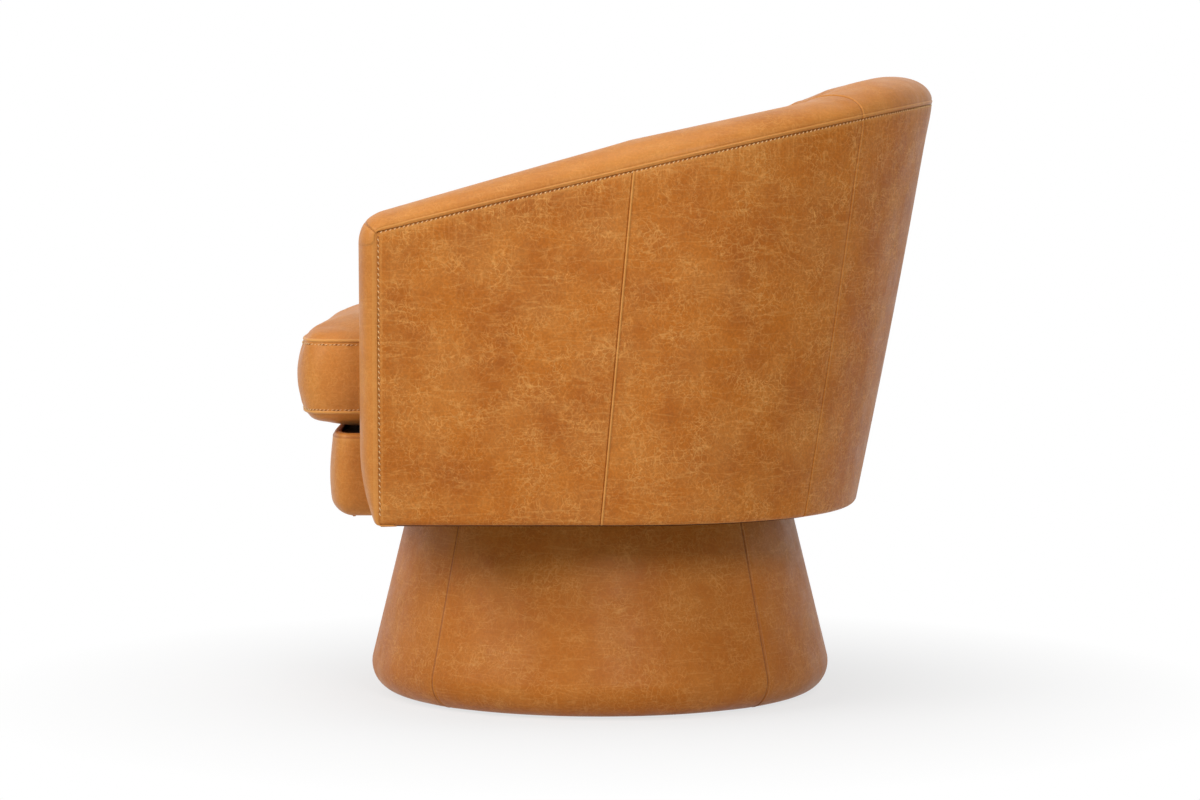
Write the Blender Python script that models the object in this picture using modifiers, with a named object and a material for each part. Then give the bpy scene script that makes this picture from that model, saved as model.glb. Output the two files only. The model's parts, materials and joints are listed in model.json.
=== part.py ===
"""Leather swivel accent chair: a tub seat that turns on a round, leaning plinth.

Metres, +Z up. The floor is z = 0, the swivel axis is the Z axis and the seat faces -Y.
The wall of the tub is laid out along stations, which run from the front of an arm round to
the middle of the back. A place in the wall is a station, an inset from the outer face and a height.
"""

import math

import bmesh
import bpy
import numpy as np

NAME = "swivel_accent_chair"

# Clearances between pieces
FIT = 0.0003
SEAM_GAP = 0.0009
BAND_GAP = 0.0014
PAD_FIT = 0.0008
CUSHION_CLEARANCE = 0.003

# Sheet thicknesses
LEATHER = 0.0022
CLOTH = 0.0012

# Plinth
GLIDE_RADIUS = 0.012
GLIDE_HEIGHT = 0.0067
GLIDE_MARGIN = 0.003
GLIDE_COUNT = 4
PLINTH_RADIUS = 0.286
PLINTH_RISE = 0.2225
PLINTH_LEAN = math.radians(13.8)
PLINTH_EDGE_ROUND = 0.0325
PLINTH_TOP_ROUND = 0.005
PLINTH_TUCK = 0.020
PLINTH_PADDING = 0.020
PLINTH_WALL = 0.005
PLINTH_RING_WIDTH = 0.065
PLINTH_BOARD = 0.018
PLINTH_PANELS = 4
PLINTH_SEAM_START = math.radians(45)
RIB_COUNT = 3
RIB_THICKNESS = 0.018
RIB_INNER_RADIUS = 0.150
TURN_STEPS = 32

# Swivel bearing
SWIVEL_HEIGHT = 0.036
SWIVEL_RADIUS = 0.150
SWIVEL_PLATE = 0.003
RACE_RADIUS = 0.090
RACE_WIDTH = 0.040
BALL_RADIUS = 0.0045
BALL_COUNT = 8
CAGE_WIDTH = 0.024
CAGE_THICKNESS = 0.004
PIVOT_RADIUS = 0.010
PIVOT_HEAD_RADIUS = 0.018
PIVOT_HEAD = 0.007
SCREW_COUNT = 4
SCREW_SIDES = 8
SCREW_RADIUS = 0.003
SCREW_HEAD_RADIUS = 0.0065
SCREW_HEAD = 0.004
SCREW_DEPTH = 0.012
SCREW_EDGE = 0.014
PIVOT_CLEARANCE = 0.009
OVERCUT = 0.010

# Seat frame
SEAT_RING_THICKNESS = 0.022
SEAT_RING_WIDTH = 0.122
SWIVEL_BOARD_THICKNESS = 0.018
SWIVEL_BOARD_MARGIN = 0.015
FRAME_BOARD = 0.015
OUTER_PADDING = 0.009
BOARD_BELOW_WELT = 0.030
RAIL_THICKNESS = 0.018
RAIL_HEIGHT = 0.0585

# Tub wall, in plan and in height
FRONT_Y = -0.2556
FOOT_HALF_WIDTH = 0.360
HEAD_HALF_WIDTH = 0.375
FOOT_BACK_Y = 0.3185
HEAD_BACK_Y = 0.4102
BEND_START_Y = 0.007
BEND_SQUARENESS = 2.3
WALL_THICKNESS = 0.100
WELT_RISE_FRONT = 0.3405
WELT_RISE_BACK = 0.491
WELT_EASE = 1.08
CROWN_FRONT = 0.0225
CROWN_ARM = 0.0355
CROWN_BEND = 0.029
CROWN_BACK = 0.0335
CROWN_BEND_SHARE = 0.60
CROWN_BACK_SHARE = 0.75
CROWN_SQUARENESS = 2.2
FOOT_ROUND = 0.006
FOOT_TUCK = 0.030
FACING_BULGE = 0.0245
FACING_TAPER = 0.092
FACING_TAPER_POWER = 2.2
FACING_LOW_SHARE = 0.20

# Seams: the share of the way from an arm's front to the middle of the back, at foot and at head
MID_SEAM_FOOT = 0.318
MID_SEAM_HEAD = 0.329
BACK_SEAM_FOOT = 0.655
BACK_SEAM_HEAD = 0.660

# Seat front, springs and deck
APRON_REACH = 0.066
FRONT_SQUARENESS = 7.0
APRON_PADDING = 0.022
APRON_ROUND = 0.020
APRON_TOP_ROUND = 0.006
APRON_BULGE = 0.004
APRON_TUCK = 0.0135
DECK_THICKNESS = 0.0075
SPRING_COUNT = 4
SPRING_WIRE = 0.0019
SPRING_SPREAD = 0.78
SPRING_HALF_WIDTH = 0.022
SPRING_LOOPS = 7
SPRING_BEND = 0.28
SPRING_SHOULDER = 0.92

# Seat cushion
CUSHION_REACH = 0.1065
CUSHION_SKIRT = 0.0295
CUSHION_BOXING = 0.085
CUSHION_CROWN = 0.053
CUSHION_SEAM_INSET = 0.006
CUSHION_DOME = 0.62
CUSHION_RINGS = 4
BOXING_ROW = 0.30
ZIP_HALF_HEIGHT = 0.004
ZIP_HALF_LENGTH = 0.16

# Heights and insets that follow, from the floor up
SKIN = LEATHER + FIT
PAD_INSET = LEATHER + PAD_FIT
PLINTH_BASE = GLIDE_HEIGHT + FIT
LEATHER_FLOOR = PLINTH_BASE - SKIN
PLINTH_TOP = PLINTH_BASE + PLINTH_RISE
SWIVEL_BASE = PLINTH_TOP + FIT
SWIVEL_TOP = SWIVEL_BASE + SWIVEL_HEIGHT
SWIVEL_BOARD_BASE = SWIVEL_TOP + FIT
RING_TOP = SWIVEL_BOARD_BASE - FIT
RING_BASE = RING_TOP - SEAT_RING_THICKNESS
SHELL_BASE = RING_BASE - FIT - LEATHER
FRAME_BASE = RING_TOP + FIT
RAIL_TOP = FRAME_BASE + RAIL_HEIGHT
SPRING_Z = RAIL_TOP + FIT + SPRING_WIRE
DECK_BASE = SPRING_Z + SPRING_WIRE + FIT
DECK_TOP = DECK_BASE + DECK_THICKNESS
CUSHION_BASE = DECK_TOP + FIT
INSIDE_BASE = (FRAME_BASE + DECK_BASE) / 2
BOARD_INSET = PAD_INSET + OUTER_PADDING
WELT_SLOPE = WELT_EASE * (WELT_RISE_BACK - WELT_RISE_FRONT) / (HEAD_BACK_Y - FRONT_Y)
TURN_SAG = PLINTH_RADIUS * (1.0 - math.cos(math.pi / TURN_STEPS))
RAIL_INSET = SKIN + APRON_PADDING + FIT

TAN = (0.52, 0.25, 0.09)
TAN_LIGHT = (0.62, 0.31, 0.12)
FOAM_COLOUR = (0.82, 0.76, 0.58)
PLY_COLOUR = (0.60, 0.43, 0.25)
BLACK_CLOTH = (0.02, 0.02, 0.02)
STEEL = (0.45, 0.45, 0.47)
NYLON = (0.03, 0.03, 0.03)
MIRROR = (-1.0, 1.0, 1.0)


def remove_all():
    for item in list(bpy.data.objects):
        bpy.data.objects.remove(item, do_unlink=True)


def collection(name):
    made = bpy.data.collections.new(name)
    bpy.context.scene.collection.children.link(made)
    return made


def finish(item, colour, roughness, metallic=0.0, parent=None):
    """Gives an object its own material, its collection and its parent."""
    surface = bpy.data.materials.new(item.name)
    surface.use_nodes = True
    shader = surface.node_tree.nodes["Principled BSDF"]
    shader.inputs["Base Color"].default_value = (*colour, 1.0)
    shader.inputs["Roughness"].default_value = roughness
    shader.inputs["Metallic"].default_value = metallic
    item.data.materials.clear()
    item.data.materials.append(surface)
    for home in list(item.users_collection):
        home.objects.unlink(item)
    PARTS.objects.link(item)
    if parent is not None:
        bpy.context.view_layer.update()
        item.parent = parent
        item.matrix_parent_inverse = parent.matrix_world.inverted()
    return item


def leather(item, parent, colour=TAN):
    return finish(item, colour, 0.42, parent=parent)


def foam(item, parent):
    return finish(item, FOAM_COLOUR, 0.95, parent=parent)


def plywood(item, parent):
    return finish(item, PLY_COLOUR, 0.65, parent=parent)


def steel(item, parent):
    return finish(item, STEEL, 0.35, 0.9, parent)


def cloth(item, parent):
    return finish(item, BLACK_CLOTH, 0.9, parent=parent)


def empty(name, height):
    item = bpy.data.objects.new(name, None)
    item.location = (0.0, 0.0, height)
    PARTS.objects.link(item)
    return item


def mesh_object(name, vertices, faces):
    mesh = bpy.data.meshes.new(name)
    mesh.from_pydata([tuple(point) for point in vertices], [], faces)
    mesh.update()
    item = bpy.data.objects.new(name, mesh)
    bpy.context.scene.collection.objects.link(item)
    return item


def smooth(item, degrees=35):
    item.data.shade_smooth()
    item.data.set_sharp_from_angle(angle=math.radians(degrees))
    return item


def grid_triangles(index):
    """Triangles over a grid of vertex numbers, every cell split along the same diagonal."""
    a, b = index[:-1, :-1].ravel(), index[1:, :-1].ravel()
    c, d = index[1:, 1:].ravel(), index[:-1, 1:].ravel()
    faces = np.concatenate([np.stack([a, b, c], axis=1), np.stack([a, c, d], axis=1)])
    return [tuple(face) for face in faces.tolist()]


def sheet(name, grid, thickness, behind):
    """A lofted open surface made solid to its back, which is the side towards the point behind."""
    rows, columns = grid.shape[:2]
    points = grid.reshape(-1, 3)
    faces = grid_triangles(np.arange(rows * columns).reshape(rows, columns))
    corners = points[np.array(faces)]
    normals = np.cross(corners[:, 1] - corners[:, 0], corners[:, 2] - corners[:, 0])
    outwards = ((corners.mean(axis=1) - np.asarray(behind)) * normals).sum()
    if outwards < 0:
        faces = [face[::-1] for face in faces]
    item = mesh_object(name, points, faces)
    solid = item.modifiers.new("thickness", "SOLIDIFY")
    solid.thickness = thickness
    solid.offset = -1.0
    solid.use_even_offset = True
    return smooth(item)


def block(name, points):
    """A closed solid over the outer faces of a grid of points, numbered along, across and up."""
    along, across, up = points.shape[:3]
    index = np.arange(along * across * up).reshape(along, across, up)
    sides = [
        (index[:, 0, :], True), (index[:, -1, :], False), (index[0, :, :], False),
        (index[-1, :, :], True), (index[:, :, 0], False), (index[:, :, -1], True),
    ]
    faces = []
    for side, turned in sides:
        faces += [face[::-1] if turned else face for face in grid_triangles(side)]
    used, renumbered = np.unique(np.array(faces), return_inverse=True)
    faces = renumbered.reshape(-1, 3)
    points = points.reshape(-1, 3)[used]
    corners = points[faces]
    volume = (corners[:, 0] * np.cross(corners[:, 1], corners[:, 2])).sum()
    if volume < 0:
        faces = faces[:, ::-1]
    return smooth(mesh_object(name, points, faces.tolist()))


def plate(name, outer, base, thickness, hole=None):
    """A flat outline, with an optional hole, extruded from base up."""
    curve = bpy.data.curves.new(name, "CURVE")
    curve.dimensions = "2D"
    curve.fill_mode = "BOTH"
    curve.extrude = thickness / 2
    for outline in (outer, hole):
        if outline is None:
            continue
        spline = curve.splines.new("POLY")
        spline.points.add(len(outline) - 1)
        for point, place in zip(spline.points, outline):
            point.co = (place[0], place[1], 0.0, 1.0)
        spline.use_cyclic_u = True
    drawn = bpy.data.objects.new(name + "_outline", curve)
    drawn.location.z = base + thickness / 2
    return solid_from_curve(name, drawn)


def solid_from_curve(name, drawn):
    """Turns a curve object into a mesh with its caps welded on."""
    bpy.context.scene.collection.objects.link(drawn)
    bpy.context.view_layer.update()
    evaluated = drawn.evaluated_get(bpy.context.evaluated_depsgraph_get())
    mesh = bpy.data.meshes.new_from_object(evaluated)
    mesh.name = name
    mesh.transform(drawn.matrix_world)
    shape = bmesh.new()
    shape.from_mesh(mesh)
    bmesh.ops.remove_doubles(shape, verts=shape.verts, dist=0.00005)
    bmesh.ops.recalc_face_normals(shape, faces=shape.faces)
    shape.to_mesh(mesh)
    shape.free()
    item = bpy.data.objects.new(name, mesh)
    bpy.context.scene.collection.objects.link(item)
    bpy.data.objects.remove(drawn, do_unlink=True)
    return item


def turned(name, profile, start=0.0, sweep=math.tau, thickness=None, closed=True):
    """A profile of radius and height turned about the Z axis, from a start angle."""
    points = [(radius, 0.0, height) for radius, height in profile]
    edges = [(n, n + 1) for n in range(len(points) - 1)]
    if closed:
        edges.append((len(points) - 1, 0))
    mesh = bpy.data.meshes.new(name)
    mesh.from_pydata(points, edges, [])
    item = bpy.data.objects.new(name, mesh)
    bpy.context.scene.collection.objects.link(item)
    screw = item.modifiers.new("turn", "SCREW")
    screw.axis = "Z"
    screw.angle = sweep
    screw.steps = round(TURN_STEPS * sweep / math.tau)
    screw.render_steps = screw.steps
    screw.use_merge_vertices = sweep > math.tau - 0.01
    screw.merge_threshold = 0.00005
    screw.use_smooth_shade = True
    item.rotation_euler.z = start
    if thickness:
        solid = item.modifiers.new("thickness", "SOLIDIFY")
        solid.thickness = thickness
        solid.offset = -1.0
        solid.use_even_offset = True
    return item


def cylinder(name, radius, base, height, sides=16, place=(0.0, 0.0)):
    shape = bmesh.new()
    bmesh.ops.create_cone(
        shape, cap_ends=True, segments=sides, radius1=radius, radius2=radius, depth=height
    )
    mesh = bpy.data.meshes.new(name)
    shape.to_mesh(mesh)
    shape.free()
    item = bpy.data.objects.new(name, mesh)
    bpy.context.scene.collection.objects.link(item)
    item.location = (place[0], place[1], base + height / 2)
    return smooth(item)


def cut(item, cutter, how="DIFFERENCE"):
    """Cuts or joins with a helper solid, which stays hidden in the cutters' collection."""
    for home in list(cutter.users_collection):
        home.objects.unlink(cutter)
    CUTTERS.objects.link(cutter)
    cutter.hide_render = True
    cutter.display_type = "WIRE"
    boolean = item.modifiers.new(cutter.name, "BOOLEAN")
    boolean.operation = how
    boolean.solver = "EXACT"
    boolean.object = cutter
    return item


def screw_places():
    return circle_places(SWIVEL_RADIUS - SCREW_EDGE, SCREW_COUNT, math.radians(45))


def screw_hole(name, base, top, place):
    """A helper solid for a hole that a swivel screw's shank stands in."""
    return cylinder(name, SCREW_RADIUS + FIT, base, top - base, SCREW_SIDES, place)


def circle_places(radius, count, start=0.0):
    angles = start + math.tau * np.arange(count) / count
    return np.stack([radius * np.cos(angles), radius * np.sin(angles)], axis=1)


# The tub wall's plan

def half_outline(half_width, back_y, share):
    """Places on one half of a plan outline, by the share of its length from arm front to back."""
    turn = np.linspace(0.0, math.pi / 2, 400)
    power = 2.0 / BEND_SQUARENESS
    x = np.concatenate([[half_width], half_width * np.cos(turn) ** power])
    y = np.concatenate([[FRONT_Y], BEND_START_Y + (back_y - BEND_START_Y) * np.sin(turn) ** power])
    length = np.concatenate([[0.0], np.cumsum(np.hypot(np.diff(x), np.diff(y)))])
    place = np.asarray(share) * length[-1]
    return np.stack([np.interp(place, length, x), np.interp(place, length, y)], axis=1)


def half_length(half_width, back_y):
    places = half_outline(half_width, back_y, np.linspace(0.0, 1.0, 200))
    return np.hypot(*np.diff(places, axis=0).T).sum()


class Stations:
    """Upright sections of the wall: where each starts at its foot and head, and its outward way."""

    def __init__(self, foot_shares, head_shares):
        foot_shares = np.asarray(foot_shares, float)
        head_shares = np.asarray(head_shares, float)
        self.share = head_shares
        self.foot = half_outline(FOOT_HALF_WIDTH, FOOT_BACK_Y, foot_shares)
        self.head = half_outline(HEAD_HALF_WIDTH, HEAD_BACK_Y, head_shares)
        step = 0.01
        ahead = half_outline(HEAD_HALF_WIDTH, HEAD_BACK_Y, np.clip(head_shares + step, 0, 1))
        behind = half_outline(HEAD_HALF_WIDTH, HEAD_BACK_Y, np.clip(head_shares - step, 0, 1))
        way = ahead - behind
        way /= np.linalg.norm(way, axis=1, keepdims=True)
        self.out = np.stack([way[:, 1], -way[:, 0]], axis=1)
        self.out[head_shares >= 1.0] = (0.0, 1.0)
        fall = (HEAD_BACK_Y - self.head[:, 1]) / (HEAD_BACK_Y - FRONT_Y)
        self.welt = SHELL_BASE + WELT_RISE_BACK - (WELT_RISE_BACK - WELT_RISE_FRONT) * fall**WELT_EASE
        marks = (0.0, MID_SEAM_HEAD, CROWN_BEND_SHARE, CROWN_BACK_SHARE)
        self.crown = np.interp(head_shares, marks, (CROWN_FRONT, CROWN_ARM, CROWN_BEND, CROWN_BACK))

    def mirrored(self):
        """The same stations on the other side, in reverse order."""
        other = object.__new__(Stations)
        for name in ("share", "welt", "crown"):
            setattr(other, name, getattr(self, name)[::-1])
        for name in ("foot", "head", "out"):
            setattr(other, name, getattr(self, name)[::-1] * (-1.0, 1.0))
        return other

    def joined(self, other):
        """These stations and then the other's, whose first is this one's last."""
        both = object.__new__(Stations)
        for name in ("share", "welt", "crown", "foot", "head", "out"):
            setattr(both, name, np.concatenate([getattr(self, name), getattr(other, name)[1:]]))
        return both

    def past(self, share):
        """The stations past a share, after a first one at the share on the line between its neighbours."""
        after = int(np.argmax(self.share > share))
        part = (share - self.share[after - 1]) / (self.share[after] - self.share[after - 1])
        later = object.__new__(Stations)
        for name in ("share", "welt", "crown", "foot", "head", "out"):
            values = getattr(self, name)
            first = values[after - 1] + (values[after] - values[after - 1]) * part
            setattr(later, name, np.concatenate([first[None], values[after:]]))
        return later

    def lengthened(self, by, at_start):
        """The same stations with one more past the end, and past the start if asked."""
        longer = object.__new__(Stations)
        for name in ("share", "welt", "crown", "foot", "head", "out"):
            values = getattr(self, name)
            run = by / np.linalg.norm(self.head[-1] - self.head[-2])
            first_run = by / np.linalg.norm(self.head[0] - self.head[1])
            after = values[-1] + (values[-1] - values[-2]) * run
            before = values[0] + (values[0] - values[1]) * first_run
            if name == "out":
                after, before = values[-1], values[0]
            rows = [values, after[None]]
            if at_start:
                rows.insert(0, before[None])
            setattr(longer, name, np.concatenate(rows))
        return longer

    def point(self, inset, height):
        """Places at an inset from the outer face and a height, one for each station."""
        rise = np.clip((height - SHELL_BASE) / (self.welt - SHELL_BASE), 0.0, 1.0)[:, None]
        plan = self.foot + (self.head - self.foot) * rise - inset * self.out
        return np.column_stack([plan, np.broadcast_to(height, len(plan))])


FRONT = (0.0, 0.0)
MID_SEAM = (MID_SEAM_FOOT, MID_SEAM_HEAD)
BACK_SEAM = (BACK_SEAM_FOOT, BACK_SEAM_HEAD)
BACK = (1.0, 1.0)
FRONT_STEPS, REAR_STEPS, BACK_STEPS = 3, 5, 4


def stations(marks, counts, start_gap=0.0, end_gap=0.0):
    """Stations from mark to mark, each mark a share at foot and head, drawn in by a gap at each end."""
    shares = [marks[0]]
    for start, end, count in zip(marks, marks[1:], counts):
        for step in range(1, count + 1):
            shares.append([a + (b - a) * step / count for a, b in zip(start, end)])
    shares = np.array(shares)
    foot_length = half_length(FOOT_HALF_WIDTH, FOOT_BACK_Y)
    lengths = np.array([foot_length, half_length(HEAD_HALF_WIDTH, HEAD_BACK_Y)])
    shares[0] += start_gap / lengths
    shares[-1] -= end_gap / lengths
    return Stations(shares[:, 0], shares[:, 1])


def arm_stations(gap):
    """One arm, from its front to the back seam."""
    return stations([FRONT, MID_SEAM, BACK_SEAM], [FRONT_STEPS, REAR_STEPS], end_gap=gap / 2)


def back_stations(gap):
    """The back, from one back seam round to the other."""
    half = stations([BACK_SEAM, BACK], [BACK_STEPS], start_gap=gap / 2)
    return half.joined(half.mirrored())


def tub_stations():
    """One half of the tub, with every station that its panels have."""
    return stations([FRONT, MID_SEAM, BACK_SEAM, BACK], [FRONT_STEPS, REAR_STEPS, BACK_STEPS])


# The crown of the wall and the rounded front of an arm

ACROSS = (1.0 - np.cos(np.linspace(0.0, math.pi, 7))) / 2.0
FACING_ROWS = (0.0, 0.07, 0.16, 0.28, 0.6, 0.93)
WALL_LEVELS = (0.0, 1 / 3, 2 / 3)


def swell(across):
    """How far the padding stands proud across the wall, from 0 at either welt to 1 between them."""
    return (1.0 - np.abs(2.0 * across - 1.0) ** CROWN_SQUARENESS) ** (1.0 / CROWN_SQUARENESS)


def arm_front(across, height):
    """How far forward the face of an arm front lies, rounded across and drawn in near its foot."""
    below = np.clip((SHELL_BASE + FACING_TAPER - height) / FACING_TAPER, 0.0, 1.0)
    left = 1.0 - (1.0 - FACING_LOW_SHARE) * below**FACING_TAPER_POWER
    return FRONT_Y - SKIN - (FACING_BULGE - SKIN) * swell(across) * left


def crown_grid(sections, inset, has_front):
    """The top of the wall inside its outer face by an inset: stations along, welt to welt across.

    An arm's first station is brought forward to the mitre, where the top meets the arm front.
    """
    rows = []
    for across in ACROSS:
        row = sections.point(inset + across * (WALL_THICKNESS - 2.0 * inset), sections.welt)
        row[:, 2] = sections.welt + sections.crown * swell(across) - inset
        if has_front:
            face = arm_front(across, sections.welt[0])
            row[0, 1] = face + inset
            row[0, 2] -= (FRONT_Y - face) * WELT_SLOPE
        rows.append(row)
    return np.stack(rows, axis=1)


def wall_block(name, sections, inset, base, has_front):
    """The padding that fills the wall between its skins, from a base up to the crown.

    At the mitre it is drawn in twice as far, clear of the edge where the arm front turns over.
    """
    top = crown_grid(sections, inset, has_front)
    if has_front:
        top[0] = crown_grid(sections, 2.0 * inset, True)[0]
    layers = []
    for share in WALL_LEVELS:
        layer = np.empty_like(top)
        for column, across in enumerate(ACROSS):
            height = base + share * (sections.welt - base)
            layer[:, column] = sections.point(inset + across * (WALL_THICKNESS - 2.0 * inset), height)
            if has_front:
                layer[0, column, 1] = arm_front(across, height[0]) + inset
        layers.append(layer)
    return block(name, np.stack(layers + [top], axis=2))


def board_block(name, sections, near, far, base, top, setback=0.0):
    """A bent board inside the wall between two insets, from its base to a top at each station."""
    columns = []
    for depth in (near, far):
        low = sections.point(depth, np.full(len(sections.share), base))
        high = sections.point(depth, top)
        low[0, 1] += setback
        high[0, 1] += setback
        columns.append(np.stack([low, high], axis=1))
    return block(name, np.stack(columns, axis=1))


# Seat front

FRONT_SHARES = np.array([0.0, 0.12, 0.3, 0.5, 0.7, 0.85, 0.95, 1.0])


def front_half(half_width, reach):
    """Places on one half of the seat front, from the middle round the corner to the arm."""
    turn = FRONT_SHARES * math.pi / 2
    power = 2.0 / FRONT_SQUARENESS
    x = half_width * np.sin(turn) ** power
    y = FRONT_Y - reach * np.cos(turn) ** power
    return np.stack([x, y], axis=1)


def inner_half_width(height):
    return float(Stations([0.0], [0.0]).point(WALL_THICKNESS, height)[0, 0])


def apron_half(inset):
    """Places on one half of the seat front's plan, inside the apron's face by an inset."""
    return front_half(inner_half_width(RING_BASE) - FIT - inset, APRON_REACH - inset) - (0.0, SKIN)


def apron_line(inset, height):
    """The seat front's plan inside the apron's face by an inset, from arm to arm at a height."""
    half = apron_half(inset)
    line = np.concatenate([half[::-1], half[1:] * (-1.0, 1.0)])
    return np.column_stack([line, np.full(len(line), height)])


def both_halves(half):
    """A closed outline from the half that runs from the middle of the front to that of the back."""
    return np.concatenate([half, half[1:-1][::-1] * (-1.0, 1.0)])


def tub_outline(front, inset, height):
    """The plan of what lies in the tub: a front, then the wall's inner face, inside it by an inset."""
    sections = tub_stations()
    wall = sections.point(WALL_THICKNESS + inset, np.full(len(sections.share), height))[:, :2]
    return both_halves(np.concatenate([front, wall]))


def line_at(places, x):
    """The Y of a line of places at a given X."""
    order = np.argsort(places[:, 0])
    return float(np.interp(x, places[order, 0], places[order, 1]))


def build_plinth(root):
    centre = PLINTH_RADIUS - PLINTH_EDGE_ROUND
    middle = LEATHER_FLOOR + PLINTH_EDGE_ROUND

    def side(height, inset):
        """The radius of the leaning side at a height, inside the leather's face by an inset."""
        reach = (PLINTH_EDGE_ROUND - inset) / math.cos(PLINTH_LEAN)
        return centre + reach - (height - middle) * math.tan(PLINTH_LEAN)

    def foot_round(inset):
        """The rounded lower edge, from the leaning side down to the floor side."""
        radius = PLINTH_EDGE_ROUND - inset
        angles = np.linspace(PLINTH_LEAN, -math.pi / 2, 6)
        return [(centre + radius * math.cos(a), middle + radius * math.sin(a)) for a in angles]

    leather_top = PLINTH_TOP + FIT + LEATHER
    profile = [(side(leather_top, 0.0) - PLINTH_TUCK, leather_top)]
    profile.append((side(leather_top, 0.0) - PLINTH_TOP_ROUND, leather_top))
    profile.append((side(leather_top - PLINTH_TOP_ROUND, 0.0), leather_top - PLINTH_TOP_ROUND))
    profile += foot_round(0.0)
    profile.append((centre - PLINTH_TUCK, LEATHER_FLOOR))
    panel_angle = math.tau / PLINTH_PANELS
    gap_angle = SEAM_GAP / PLINTH_RADIUS
    for number in range(PLINTH_PANELS):
        start = PLINTH_SEAM_START + number * panel_angle + gap_angle / 2
        item = turned(f"plinth_leather_{number + 1}", profile, start, panel_angle - gap_angle,
                      LEATHER, closed=False)
        leather(item, root)

    # Bottom ring, with its lower edge taken off for the padding
    ring_top = PLINTH_BASE + PLINTH_BOARD
    wall_out = SKIN + PLINTH_PADDING + FIT
    wall_in = wall_out + PLINTH_WALL
    ring_radius = side(ring_top, wall_out)
    chamfer = PLINTH_BOARD / 2
    ring_inner = ring_radius - PLINTH_RING_WIDTH
    ring = turned("plinth_bottom_ring", [
        (ring_radius, ring_top), (ring_radius, PLINTH_BASE + chamfer), (centre, PLINTH_BASE),
        (ring_inner, PLINTH_BASE), (ring_inner, ring_top),
    ], PLINTH_SEAM_START)
    plywood(ring, root)

    # Bent wall on the ring, with the top board inside its upper edge
    wall_base = ring_top + FIT
    plywood(turned("plinth_bent_wall", [
        (side(PLINTH_TOP, wall_out), PLINTH_TOP), (side(wall_base, wall_out), wall_base),
        (side(wall_base, wall_in), wall_base), (side(PLINTH_TOP, wall_in), PLINTH_TOP),
    ], PLINTH_SEAM_START), root)
    board_radius = side(PLINTH_TOP, wall_in) - FIT
    board_base = PLINTH_TOP - PLINTH_BOARD
    bore = PIVOT_HEAD_RADIUS + PIVOT_CLEARANCE
    board = turned("plinth_top_board", [
        (board_radius, PLINTH_TOP), (board_radius, board_base), (bore, board_base), (bore, PLINTH_TOP),
    ], PLINTH_SEAM_START)
    plywood(board, root)
    for number, place in enumerate(screw_places()):
        cut(board, screw_hole(f"lower_pilot_{number + 1}", PLINTH_TOP - SCREW_DEPTH - FIT,
                              PLINTH_TOP + OVERCUT, place))

    # Padding over the wall, ring and chamfer
    padding = [(side(PLINTH_TOP, SKIN) - PLINTH_TOP_ROUND, PLINTH_TOP)]
    padding.append((side(PLINTH_TOP - PLINTH_TOP_ROUND, SKIN), PLINTH_TOP - PLINTH_TOP_ROUND))
    padding += foot_round(SKIN)[:-1]
    padding.append((ring_radius + FIT, PLINTH_BASE + chamfer))
    padding.append((ring_radius + FIT, ring_top))
    padding.append((side(PLINTH_TOP, wall_out - FIT), PLINTH_TOP))
    foam(turned("plinth_padding", padding, PLINTH_SEAM_START), root)

    # Ribs between the ring and the board
    for number in range(RIB_COUNT):
        low, high = ring_top + FIT, board_base - FIT
        outer_low, outer_high = side(low, wall_in) - FIT, side(high, wall_in) - FIT
        half = RIB_THICKNESS / 2
        trim = outer_low - math.sqrt(outer_low**2 - half**2) + TURN_SAG
        grid = np.empty((2, 2, 2, 3))
        for across, offset in enumerate((-half, half)):
            for up, (height, outer) in enumerate(((low, outer_low), (high, outer_high))):
                grid[0, across, up] = (RIB_INNER_RADIUS, offset, height)
                grid[1, across, up] = (outer - trim, offset, height)
        rib = block(f"plinth_rib_{number + 1}", grid)
        rib.rotation_euler.z = math.tau * number / RIB_COUNT + math.pi / 2
        plywood(rib, root)

    glide_circle = centre - PLINTH_TUCK - GLIDE_RADIUS - GLIDE_MARGIN
    for number, place in enumerate(circle_places(glide_circle, GLIDE_COUNT, math.radians(45))):
        item = cylinder(f"floor_glide_{number + 1}", GLIDE_RADIUS, 0.0, GLIDE_HEIGHT, 20, place)
        finish(item, NYLON, 0.5, parent=root)


def screw(name, place, seat, up, parent):
    """A pan-head screw whose head bears on a plate at the height seat, its shank up or down."""
    sign = 1.0 if up else -1.0
    head_base = seat - SCREW_HEAD - FIT if up else seat + FIT
    item = cylinder(name, SCREW_HEAD_RADIUS, head_base, SCREW_HEAD, SCREW_SIDES, place)
    shank_end = seat + sign * (SWIVEL_PLATE + SCREW_DEPTH - FIT)
    shank_start = seat - sign * (SCREW_HEAD / 2 + FIT)
    base, length = min(shank_start, shank_end), abs(shank_end - shank_start)
    shank = cylinder(name + "_shank", SCREW_RADIUS, base, length, SCREW_SIDES, place)
    cut(item, shank, "UNION")
    return steel(item, parent)


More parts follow.
